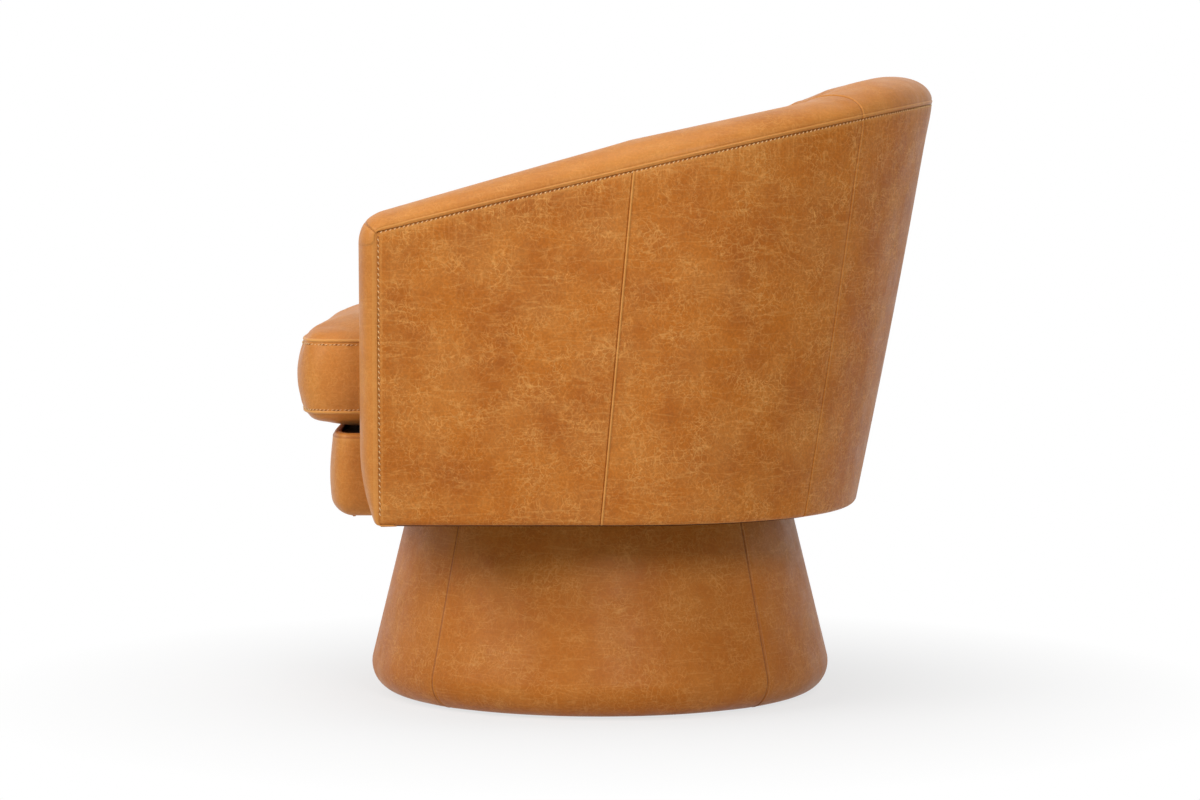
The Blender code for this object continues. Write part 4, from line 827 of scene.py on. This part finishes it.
def mitre_fold(points, seam):
    """Points moved forwards and up by the fold beside the mitre seam, and their wear and painted light."""
    gap = np.linalg.norm(points - seam, axis=2)
    dip = 0.7 * curve(gap, MITRE_EDGE)
    return points + dip[..., None] * (0.0, -1.0, 1.0), curve(gap, MITRE_WEAR_AND_PAINTED_LIGHT)


def across_samples(crown):
    """Shares across the wall, by station: close rows above either welt, then even angles between.

    The close rows are heights up the crown, turned into shares by the inverse of the swell.
    """
    rise = np.array([0, 0.3, 0.7, 1.1, 1.5, 1.9, 2.3, 2.7, 3.1,
                     3.5, 3.9, 4.3, 4.7, 5.2, 5.8, 6.6, 8, 10]) / 1000
    rise = np.minimum(rise / np.asarray(crown)[..., None], 1.0)
    near = (1.0 - (1.0 - rise**CROWN_SQUARENESS) ** (1.0 / CROWN_SQUARENESS)) / 2.0
    turn = np.arccos(1.0 - 2.0 * near[..., -1:])
    middle = (1.0 - np.cos(turn + (math.pi - 2.0 * turn) * np.linspace(0, 1, 36)[1:-1])) / 2.0
    return np.concatenate([near, middle, 1.0 - near[..., ::-1]], axis=-1)


def turned_in(points, out, under):
    """Adds a lip at both sides of a band of points: its edge turned in under itself."""
    first, last = points[:, :1].copy(), points[:, -1:].copy()
    first[:, 0, :2] -= under * out
    last[:, 0, :2] += under * out
    return np.concatenate([first, points, last], axis=1)


def build_band(start, end, start_seam, end_seam):
    """A padded band over the crown of the wall, from welt to welt, with its edges turned in.

    Across it the height follows the swell. Folds beside its end seams and gathers beside its welts
    move it along the way that leads out of the crown. Without a start seam it begins at the mitre.
    """
    sizes = bpy.context.scene.chair_sizes
    beside = spaced((end - start) * HALF_LENGTH, BESIDE_SEAM, 0.0045)
    if start_seam is None:
        beside = beside[beside > 0.030]
    share = start + beside / HALF_LENGTH
    _, _, out, welt, crown = wall(share)
    across = across_samples(crown)
    rise = crown[:, None] * swell(across)
    spread = bulged(across)
    points = wall_point(share, spread * WALL_THICKNESS, welt[:, None] + rise)
    mark = np.zeros(points.shape[:2])
    from_welt = np.minimum(across, 1 - across) * WALL_THICKNESS
    wave = gather((beside + start * HALF_LENGTH)[:, None])
    lift = curve(rise, BAND_FOLD) - 0.8 * sizes.pucker * wave * np.exp(-from_welt / 0.007)
    for distance, seam in ((beside[-1] - beside, end_seam), (beside, start_seam)):
        if seam is not None:
            lift = lift + curve(distance - EDGE_GAP, seam[0])[:, None]
            mark = mark + curve(distance - EDGE_GAP, seam[1])[:, None]
    lean = (spread - 0.5) * 2
    points[..., :2] -= (lift * lean)[..., None] * out[:, None]
    points[..., 2] += lift * np.sqrt(np.clip(1 - lean**2, 0, 1))
    if start_seam is None:
        first = across[0]
        bend = arm_corner(first, np.linspace(0.5, 1.0, ROUND_STEPS))
        behind = arm_front(first, WELT_FRONT) - FRONT_Y + corner_radius(first)
        parts = np.linspace(0, 1, 10)[1:-1]
        lead = [crown_point(first, behind + (beside[0] - behind) * part) for part in parts]
        front, front_mark = mitre_fold(np.concatenate([bend, lead]), bend[:1])
        points = np.concatenate([front, points])
        mark = np.concatenate([front_mark, mark])
        rise = np.concatenate([np.broadcast_to(rise[:1], front_mark.shape), rise])
        out = np.concatenate([np.broadcast_to((1.0, 0.0), (len(front), 2)), out])
    # The turned-in lips are marked -0.5: painted shade under the turned edge.
    mark = np.pad(stronger(mark, curve(rise, BAND_WEAR_AND_PAINTED_LIGHT)), ((0, 0), (1, 1)), constant_values=-0.5)
    points = turned_in(points, out, 0.0035)
    return points, mark, points.mean(axis=1, keepdims=True) - (0.0, 0.0, 0.02)


class CHAIR_OT_top_bands(bpy.types.Operator):
    """Makes the padded bands over the arms and the back, with their seams"""

    bl_idname = "chair.top_bands"
    bl_label = "Top Bands"

    def execute(self, context):
        points, mark, behind = build_band(0.0, BACK_SEAM, None, PLAIN)
        for side, turn in (("left", 1.0), ("right", MIRROR)):
            padded_hide(f"top_band_{side}_hide", points * turn, mark, behind * turn,
                        [f"top_band_{side}", f"arm_padding_{side}"])
        points, mark, behind = build_band(BACK_SEAM, 2 - BACK_SEAM, SOFT, SOFT)
        padded_hide("top_band_back_hide", points, mark, behind, ["top_band_back", "back_padding"])
        return {"FINISHED"}


class CHAIR_OT_arm_facings(bpy.types.Operator):
    """Makes the rounded leather face of each arm front, up to its mitre seam"""

    bl_idname = "chair.arm_facings"
    bl_label = "Arm Facings"

    def execute(self, context):
        across = across_samples(CROWN_RISES[0])
        corner = arm_corner(across, np.linspace(0.0, 0.5, ROUND_STEPS))
        foot = SHELL_BASE + np.array([0.0, 0.0007, 0.002, 0.004, 0.007])
        height = np.concatenate([foot, np.linspace(SHELL_BASE + 0.012, WELT_FRONT - 0.020, 50)])
        height = height[:, None] * np.ones(len(across))
        lead = np.linspace(0, 1, LEAD_STEPS + 2)[1:-1, None]
        height = np.concatenate([height, height[-1:] + (corner[0, :, 2] - height[-1:]) * lead])
        rise = np.clip((height - SHELL_BASE) / (WELT_FRONT - SHELL_BASE), 0, 1)
        half = FOOT_HALF_WIDTH + (HEAD_HALF_WIDTH - FOOT_HALF_WIDTH) * rise
        turn = np.clip(1 - (height - SHELL_BASE) / FACING_FOOT_ROUND, 0, 1)
        face = arm_front(across, height) + FACING_FOOT_ROUND * (1 - np.sqrt(1 - turn**2))
        points = np.stack([half - bulged(across, rise**8) * WALL_THICKNESS, face, height], axis=2)
        points = np.concatenate([points[:1] + (0.0, 0.016, 0.0004), points, corner])
        mark = np.zeros(points.shape[:2])
        top = slice(-ROUND_STEPS - LEAD_STEPS, None)
        points[top], mark[top] = mitre_fold(points[top], corner[-1:])
        # The facing's rolled sides are paled to 0.35: rubbed wear, partly a painted highlight.
        edge = (FRONT_Y - SKIN - points[..., 1] < 0.004) & (np.abs(across - 0.5) > 0.3)
        mark[edge & (mark == 0)] = 0.35
        outer = [points[:, :1] + move for move in FACING_OUTER_ROLL]
        inner = [points[:, -1:] + move for move in FACING_INNER_ROLL]
        points = np.concatenate([*outer, points, *inner], axis=1)
        mark = np.pad(mark, ((0, 0), (3, 3)), mode="edge")
        # The rolls' outermost rows are a little pale: rubbed wear, partly a painted highlight.
        mark[:, [0, -1]] = 0.1
        behind = points + (0.0, 0.05, -0.02)
        for side, turn in (("left", 1.0), ("right", MIRROR)):
            padded_hide(f"arm_facing_{side}_hide", points * turn, mark, behind * turn,
                        [f"arm_facing_{side}"])
        return {"FINISHED"}


# The seat front and its cushion

def seat_front(half_width, reach, count=60):
    """The seat front's plan from its middle to the left arm: (x / half width)^n + (y / reach)^n = 1."""
    power = FRONT_SQUARENESS
    bend = 0.5 ** (1 / power)
    along, down = np.linspace(0, bend, count)[:-1], np.linspace(bend, 0, count // 2)
    u = np.concatenate([along, (1 - down**power) ** (1 / power)])
    v = np.concatenate([(1 - along**power) ** (1 / power), down])
    return np.stack([half_width * u, FRONT_Y - reach * v], axis=1)


def even(line, count):
    """A line's points at even steps of arc length."""
    length = run(line)
    return read_off(np.linspace(0, length[-1], count), length, line)


def sideways(line, closed=False):
    """The outward way at each point of a plan line that runs counterclockwise."""
    way = np.roll(line, -1, axis=0) - np.roll(line, 1, axis=0) if closed else np.gradient(line, axis=0)
    way = unit(way)
    return np.stack([way[:, 1], -way[:, 0]], axis=1)


APRON_TOP_ROUND = 0.006
APRON_FOOT_ROUND = 0.020
APRON_BULGE = 0.004


class CHAIR_OT_apron(bpy.types.Operator):
    """Makes the padded leather apron under the front of the cushion"""

    bl_idname = "chair.apron"
    bl_label = "Apron"

    def execute(self, context):
        half = seat_front(APRON_HALF_WIDTH, APRON_REACH) - (0.0, SKIN)
        line = even(np.concatenate([half[::-1] * MIRROR[:2], half[1:]]), 170)
        out = sideways(line)
        rise = np.radians(np.linspace(90, 0, 9))
        upper = APRON_TOP_ROUND * np.column_stack([1 - np.cos(rise), np.sin(rise) - 1])
        upper[5:, 0] += (0.0002, 0.0009, 0.0004, -0.0003)
        groove = np.array([(0.0, -6.3), (-0.2, -7.0), (-0.2, -9.0)]) / 1000
        foot = SHELL_BASE + APRON_FOOT_ROUND - APRON_TOP
        middle = np.linspace(-0.013, foot, 14)[:-1]
        fall = np.radians(np.linspace(0, 90, 11))
        lower = np.column_stack([1 - np.cos(fall), -np.sin(fall)]) * APRON_FOOT_ROUND + (0.0, foot)
        profile = np.concatenate([[(0.0098, 0.0)], upper, groove, np.column_stack([0 * middle, middle]),
                                  lower, [(0.023, SHELL_BASE - APRON_TOP)]])
        height = APRON_TOP + profile[:, 1]
        bow = np.sin(math.pi * np.clip((height - SHELL_BASE) / (APRON_TOP - SHELL_BASE), 0, 1))
        inset = profile[:, 0] + APRON_BULGE * (1 - bow) - 0.001
        plan = line[:, None] - inset[:, None] * out[:, None]
        points = np.concatenate([plan, np.broadcast_to(height, plan.shape[:2])[..., None]], axis=2)
        points[..., 1] -= 0.0006 * np.sin(points[..., 0] / 0.031 + 3 * points[..., 2] / 0.1) * bow
        # Dark just under the top roll, painted shade; pale on the welt below it, rubbed wear with a painted
        # highlight.
        mark = curve(-profile[:, 1], APRON_WEAR_AND_PAINTED_LIGHT) * np.ones((len(line), 1))
        behind = points * (0.9, 1.0, 1.0) + (0.0, 0.03, 0.0)
        padded_hide("apron_hide", points, mark, behind, ["apron_leather", "apron_padding"])
        return {"FINISHED"}


SIDE_CELLS = 66
CUSHION_MEAN_REACH = 0.28
FILLING_FRAMES = 20
CROWN_FULLNESS = 0.68
SKIRT_FULLNESS = 0.45
BOX_ROWS = np.array([2.2, 4.6, 8.0, 13, 20, 29, 38, 43.5, 49, 58, 67, 74, 79, 82.4, 84.8]) / 87


def cushion_plan():
    """The cushion's plan as three lines: its front, its left side and its back.

    The front is a squared superellipse and the rest keeps a clearance inside the tub's wall. The
    four corners are where the outline has turned by 45 and by 135 degrees.
    """
    front = seat_front(CUSHION_HALF_WIDTH - CUSHION_CLEARANCE, CUSHION_REACH)[:-1]
    share = np.linspace(0, 1, 160)
    inset = np.full((160, 1), WALL_THICKNESS + CUSHION_CLEARANCE)
    side = wall_point(share, inset, np.full((160, 1), CUSHION_BASE))[:, 0, :2]
    half = even(np.concatenate([front, side]), 800)
    way = np.gradient(half, axis=0)
    turned = np.degrees(np.arctan2(way[:, 1], way[:, 0]))
    near, far = int(np.argmax(turned > 45)), int(np.argmax(turned > 135))
    edge_front = np.concatenate([half[:near + 1][::-1] * MIRROR[:2], half[1:near + 1]])
    edge_back = np.concatenate([half[far:] * MIRROR[:2], half[far:][::-1][1:]])
    return [even(edge, SIDE_CELLS + 1) for edge in (edge_front, half[near:far + 1], edge_back)]


def coons(front, left, back):
    """A grid of plan places inside four lines: the two blends of opposite lines less the corners' blend."""
    right = left * MIRROR[:2]
    u = np.linspace(0, 1, len(front))[:, None, None]
    v = np.linspace(0, 1, len(left))[None, :, None]
    ruled = (1 - v) * front[:, None] + v * back[:, None] + (1 - u) * right[None] + u * left[None]
    near = (1 - v) * ((1 - u) * front[0] + u * front[-1])
    far = v * ((1 - u) * back[0] + u * back[-1])
    return (ruled - near - far).reshape(-1, 2)


def smoothed(heights):
    """A square grid's heights, each inner one moved halfway to the mean of its four neighbours, twice."""
    grid = heights.reshape(SIDE_CELLS + 1, SIDE_CELLS + 1).copy()
    for _ in range(2):
        mean = (grid[:-2, 1:-1] + grid[2:, 1:-1] + grid[1:-1, :-2] + grid[1:-1, 2:]) / 4
        grid[1:-1, 1:-1] = (grid[1:-1, 1:-1] + mean) / 2
    return grid.ravel()


class CHAIR_OT_cushion(bpy.types.Operator):
    """Makes the loose boxed cushion, filled by a cloth simulation, with its seams and stitches"""

    bl_idname = "chair.cushion"
    bl_label = "Cushion"

    def execute(self, context):
        plan = coons(*cushion_plan())
        side = SIDE_CELLS + 1
        index = np.arange(side**2).reshape(side, side)
        ring = np.concatenate([index[:-1, 0], index[-1, :-1], index[1:, -1][::-1], index[0, 1:][::-1]])
        out = sideways(plan[ring], closed=True)
        middle = plan.mean(axis=0)
        flat = middle + (plan - middle) * (1 - SEAM_INSET / CUSHION_MEAN_REACH)
        flat[ring] = plan[ring] - SEAM_INSET * out
        u = np.linspace(-1, 1, side)
        dome = ((1 - u[:, None] ** 2) * (1 - u**2)).ravel() ** 0.62
        top = np.column_stack([flat, SEAM_HIGH + 0.75 * CUSHION_CROWN * dome])
        bottom = np.column_stack([flat, SEAM_LOW - (CUSHION_SKIRT - 0.0002) * dome**0.8])
        bow = 4 * BOX_ROWS * (1 - BOX_ROWS)
        box = plan[ring] - (SEAM_INSET * (1 - bow))[:, None, None] * out
        height = np.ones(len(ring)) * (SEAM_HIGH - BOX_ROWS * CUSHION_BOXING)[:, None]
        box = np.concatenate([box, height[..., None]], axis=2)
        count = len(top)
        box_index = 2 * count + np.arange(box[..., 0].size).reshape(box.shape[:2])
        belt = np.concatenate([ring[None], box_index, ring[None] + count])
        after = np.roll(belt, -1, axis=1)
        belt_faces = np.stack([belt[:-1], belt[1:], after[1:], after[:-1]], axis=2).reshape(-1, 4)
        top_faces = grid_faces(side, side)
        faces = np.concatenate([top_faces, top_faces[:, ::-1] + count, belt_faces])
        vertices = np.concatenate([top, bottom, box.reshape(-1, 3)])
        item = piece("seat_cushion_cover_hide", vertices, faces, finish("drawn_leather"), "cushion",
                     ["seat_cushion_cover", "seat_cushion_core"])
        vertices = self.fill(item, vertices, np.concatenate([ring, ring + count]), count)
        item.data.vertices.foreach_set("co", vertices.ravel().astype(np.float32))
        mark = np.zeros(len(vertices))
        # The boxing's rows beside both seams are paled: rubbed wear with a painted sheen.
        mark[box_index[[0, -1]]] = 0.35
        note(item, "wear_and_painted_light", mark)
        soften = item.modifiers.new("Soften", "SUBSURF")
        soften.levels = soften.render_levels = 1
        self.seams((("top", vertices[ring], vertices[box_index[[0, 1]]], 1.2, 0.75),
                    ("bottom", vertices[ring + count], vertices[box_index[[-1, -2]]], 0.25, -0.75)), out)
        return {"FINISHED"}

    def fill(self, item, start, fixed, count):
        """Filling pushes the cover out: 20 frames of cloth under pressure, its seams held where they are.

        No point moves farther than the swell allows. The top and the underside are then smoothed and
        scaled to the crown's height and down to the deck, their shares raised to a power below 1,
        which makes them fuller near the seams.
        """
        held = item.vertex_groups.new(name="seams")
        held.add(fixed.tolist(), 1.0, "REPLACE")
        cloth = item.modifiers.new("Filling", "CLOTH")
        settings = cloth.settings
        settings.quality = 6
        settings.mass = 0.4
        settings.tension_stiffness = 12.0
        settings.compression_stiffness = 12.0
        settings.shear_stiffness = 4.0
        settings.bending_stiffness = 0.6
        settings.use_pressure = True
        settings.uniform_pressure_force = 4.0
        settings.shrink_min = -0.02
        settings.vertex_group_mass = "seams"
        settings.effector_weights.gravity = 0.0
        cloth.collision_settings.use_collision = False
        scene = bpy.context.scene
        for number in range(1, FILLING_FRAMES + 1):
            scene.frame_set(number)
        shape = item.evaluated_get(bpy.context.evaluated_depsgraph_get()).data
        moved = np.zeros(len(shape.vertices) * 3, np.float32)
        shape.vertices.foreach_get("co", moved)
        way = moved.reshape(-1, 3).astype(float) - start
        item.modifiers.remove(cloth)
        item.vertex_groups.remove(held)
        scene.frame_set(1)
        most = scene.chair_sizes.cushion_swell
        way *= np.minimum(1.0, most / np.maximum(np.linalg.norm(way, axis=1, keepdims=True), 1e-9))
        moved = start + way
        crown = smoothed(np.clip(moved[:count, 2] - SEAM_HIGH, 0, None))
        moved[:count, 2] = SEAM_HIGH + CUSHION_CROWN * (crown / crown.max()) ** CROWN_FULLNESS
        low = smoothed(np.clip(SEAM_LOW - moved[count:2 * count, 2], 0, None))
        share = (low / low.max()) ** SKIRT_FULLNESS
        moved[count:2 * count, 2] = SEAM_LOW - (SEAM_LOW - CUSHION_BASE) * share
        return moved

    def seams(self, rings, out):
        """The folded ridges of both seams, then the stitches beside them on the boxing.

        A ring is a name, the seam's edge, two rows of the boxing, where the stitches lie between them
        as a share, and how steeply the ridge leans up.
        """
        out = np.column_stack([out, np.zeros(len(out))])
        for name, edge, _, _, lean in rings:
            folded_ridge(f"cushion_{name}_seam_fold", edge, unit(out + (0.0, 0.0, lean)))
        for name, _, rows, share, _ in rings:
            path = rows[0] + (rows[1] - rows[0]) * share
            loop, ways = (np.concatenate([line, line[:1]]) for line in (path, out))
            sewn(f"cushion_{name}_seam", [(loop, ways)], "cushion", 30.0, 0.95)


# The plinth

PLINTH_TOP_ROUND = 0.0045
PLINTH_SEAM_RADIUS = 0.26
PLINTH_TUCK = (-0.018, 0.0)


def plinth_side(height):
    """The plinth's radius at a height on its straight side, a cone that touches the foot's rounding."""
    outer = PLINTH_CENTRE + PLINTH_ROUND / math.cos(PLINTH_LEAN)
    return outer - (height - PLINTH_MIDDLE) * math.tan(PLINTH_LEAN)


def plinth_profile():
    """Radius and height down the plinth: tucked in at the top, a straight lean, a rounded foot."""
    rise = np.radians(np.linspace(90, math.degrees(PLINTH_LEAN), 7))
    low = PLINTH_LEATHER_TOP - PLINTH_TOP_ROUND
    centre = np.array([plinth_side(low) - PLINTH_TOP_ROUND / math.cos(PLINTH_LEAN), low])
    rim = centre + PLINTH_TOP_ROUND * np.column_stack([np.cos(rise), np.sin(rise)])
    foot_start = PLINTH_MIDDLE + PLINTH_ROUND * math.sin(PLINTH_LEAN)
    heights = np.linspace(rim[-1, 1], foot_start, 34)[1:-1]
    straight = np.column_stack([plinth_side(heights), heights])
    turn = np.linspace(PLINTH_LEAN, -math.pi / 2, 22)
    drop = np.where(turn < 0, PLINTH_MIDDLE - PLINTH_FOOT, PLINTH_ROUND)
    foot = np.column_stack([PLINTH_CENTRE + PLINTH_ROUND * np.cos(turn),
                            PLINTH_MIDDLE + drop * np.sin(turn)])
    return np.concatenate([rim[:1] + PLINTH_TUCK, rim, straight, foot, foot[-1:] + PLINTH_TUCK])


class CHAIR_OT_plinth(bpy.types.Operator):
    """Makes the four leather panels of the round plinth, with their seams"""

    bl_idname = "chair.plinth"
    bl_label = "Plinth"

    def execute(self, context):
        profile = plinth_profile()
        way = unit(np.gradient(profile, axis=0))
        normal = np.stack([-way[:, 1], way[:, 0]], axis=1)
        quarter = math.pi / 2 * PLINTH_SEAM_RADIUS
        beside = spaced(quarter, BESIDE_SEAM, 0.0065)
        folds = curve(beside - EDGE_GAP, FOLDED_EDGE) + curve(quarter - beside - EDGE_GAP, PLAIN_EDGE)
        radius, height = (profile + 0.6 * folds[:, None, None] * normal).transpose(2, 0, 1)
        height = np.maximum(height, PLINTH_FOOT)
        # Dark at each seam, painted shade; pale on the fold beside it, rubbed wear with a painted highlight.
        mark = curve(np.minimum(beside, quarter - beside), PLINTH_WEAR_AND_PAINTED_LIGHT)[:, None] * np.ones(len(profile))
        for number in range(4):
            angle = math.radians(45 + 90 * number) + (beside / PLINTH_SEAM_RADIUS)[:, None]
            points = np.stack([radius * np.cos(angle), radius * np.sin(angle), height], axis=2)
            replaced = [f"plinth_leather_{number + 1}"] + (["plinth_padding"] if number == 0 else [])
            item = hide(f"plinth_hide_{number + 1}", points, mark, points * (0.8, 0.8, 1.0),
                        finish("plinth_leather"), "plinth", replaced)
        return {"FINISHED"}


class CHAIR_OT_frame_finishes(bpy.types.Operator):
    """Gives the boards, the swivel, the springs, the cloths and the glides their finishes"""

    bl_idname = "chair.frame_finishes"
    bl_label = "Frame Finishes"

    def execute(self, context):
        finishes = {"plywood": "birch_plywood", "steel": "zinc_plate", "nylon": "moulded_nylon",
                    "black_cloth": "black_deck_cloth"}
        for part in frame["record"]["subparts"]:
            if part["material_slot"] in finishes:
                item = frame["nodes"][part["node"]]
                item.data.materials.clear()
                item.data.materials.append(finish(finishes[part["material_slot"]]))
        return {"FINISHED"}


FLOOR_REACH = 12.0


class CHAIR_OT_studio(bpy.types.Operator):
    """Sets up the floor, the lamps, the sky and the camera"""

    bl_idname = "chair.studio"
    bl_label = "Studio"

    def execute(self, context):
        scene = context.scene
        studio = scene.chair_studio
        floor = bpy.data.meshes.new("studio_floor")
        corners = [(x * FLOOR_REACH, y * FLOOR_REACH, 0) for x, y in ((-1, -1), (1, -1), (1, 1), (-1, 1))]
        floor.from_pydata(corners, [], [(0, 1, 2, 3)])
        floor.materials.append(self.paper())
        ground = bpy.data.objects.new("studio_floor", floor)
        scene.collection.objects.link(ground)

        sky = bpy.data.worlds.new("studio_sky")
        sky.use_nodes = True
        sky.node_tree.nodes.clear()
        strength = add(sky, "MapRange", {0: self.background_rays(sky), 3: studio.sky, 4: 1.0})[0]
        white = add(sky, "Background", {"Color": (1.0, 1.0, 1.0, 1.0), "Strength": strength})[0]
        add(sky, "OutputWorld", {"Surface": white})
        scene.world = sky

        aim = Vector((0.0, 0.0, 0.42))
        for name, place, size, power in (
                ("key_lamp", (2.5, -3.7, 2.9), 2.2, 114.0),
                ("top_lamp", (0.6, -0.4, 3.6), 2.4, 40.0),
                ("fill_lamp", (4.2, 0.9, 2.5), 1.2, 62.0)):
            lamp = bpy.data.lights.new(name, "AREA")
            lamp.shape = "SQUARE"
            lamp.size = size
            lamp.energy = power
            item = bpy.data.objects.new(name, lamp)
            item.location = place
            item.rotation_euler = (aim - Vector(place)).to_track_quat("-Z", "Y").to_euler()
            scene.collection.objects.link(item)

        lens = bpy.data.cameras.new("studio_camera")
        lens.lens = studio.lens
        lens.sensor_width = 36.0
        lens.sensor_fit = "HORIZONTAL"
        camera = bpy.data.objects.new("studio_camera", lens)
        camera.location = (studio.camera_distance, 0.0, studio.camera_height)
        camera.rotation_euler = (math.pi / 2 - studio.camera_dip, 0.0, math.pi / 2)
        scene.collection.objects.link(camera)
        scene.camera = camera
        scene.view_settings.view_transform = "Standard"
        return {"FINISHED"}

    def background_rays(self, owner):
        """1 where the background is seen, straight on, in a gloss or through glass, and 0 elsewhere."""
        rays = add(owner, "LightPath")
        total = rays["Is Camera Ray"]
        for name in ("Is Glossy Ray", "Is Transmission Ray"):
            total = add(owner, "Math", {0: total, 1: rays[name]}, operation="MAXIMUM")[0]
        return total

    def paper(self):
        """Matt white background paper: near the chair the shadow shows, and it fades to plain white."""
        paper = blank("background_paper")
        place = add(paper, "TexCoord")["Object"]
        away = add(paper, "VectorMath", {0: place}, operation="LENGTH")["Value"]
        plain = add(paper, "MapRange", {0: away, 1: 0.3, 2: 0.8, 3: 0.72, 4: 1.0})[0]
        share = add(paper, "Math", {0: self.background_rays(paper), 1: plain}, operation="MULTIPLY")[0]
        matt = add(paper, "BsdfDiffuse", {"Color": rgba((0.75, 0.75, 0.75))})[0]
        glow = add(paper, "Emission", {"Color": (1.0, 1.0, 1.0, 1.0), "Strength": 1.0})[0]
        mix = add(paper, "MixShader", {0: share, 1: matt, 2: glow})[0]
        add(paper, "OutputMaterial", {"Surface": mix})
        return paper


STEPS = (CHAIR_OT_frame_finishes, CHAIR_OT_outside_panels, CHAIR_OT_inside_panels, CHAIR_OT_top_bands,
         CHAIR_OT_arm_facings, CHAIR_OT_apron, CHAIR_OT_cushion, CHAIR_OT_plinth, CHAIR_OT_studio)


class CHAIR_PT_panel(bpy.types.Panel):
    """The chair's steps, sizes and colours"""

    bl_label = "Chair"
    bl_idname = "CHAIR_PT_panel"
    bl_space_type = "VIEW_3D"
    bl_region_type = "UI"
    bl_category = "Chair"

    def draw(self, context):
        for group in (context.scene.chair_sizes, context.scene.chair_colours, context.scene.chair_studio):
            box = self.layout.box()
            for name in group.bl_rna.properties.keys():
                if name not in ("rna_type", "name"):
                    box.prop(group, name)
        for step in STEPS:
            self.layout.operator(step.bl_idname)


CLASSES = (ChairSizes, ChairColours, ChairStudio, *STEPS, CHAIR_PT_panel)


def register():
    for entry in CLASSES:
        bpy.utils.register_class(entry)
    bpy.types.Scene.chair_sizes = PointerProperty(type=ChairSizes)
    bpy.types.Scene.chair_colours = PointerProperty(type=ChairColours)
    bpy.types.Scene.chair_studio = PointerProperty(type=ChairStudio)


def unregister():
    del bpy.types.Scene.chair_studio
    del bpy.types.Scene.chair_colours
    del bpy.types.Scene.chair_sizes
    for entry in reversed(CLASSES):
        bpy.utils.unregister_class(entry)


def main():
    register()
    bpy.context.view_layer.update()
    bpy.ops.chair.frame_finishes()
    bpy.ops.chair.outside_panels()
    bpy.ops.chair.inside_panels()
    bpy.ops.chair.top_bands()
    bpy.ops.chair.arm_facings()
    bpy.ops.chair.apron()
    bpy.ops.chair.cushion()
    bpy.ops.chair.plinth()
    bpy.ops.chair.studio()
    bpy.context.view_layer.update()


if __name__ == "__main__":
    main()
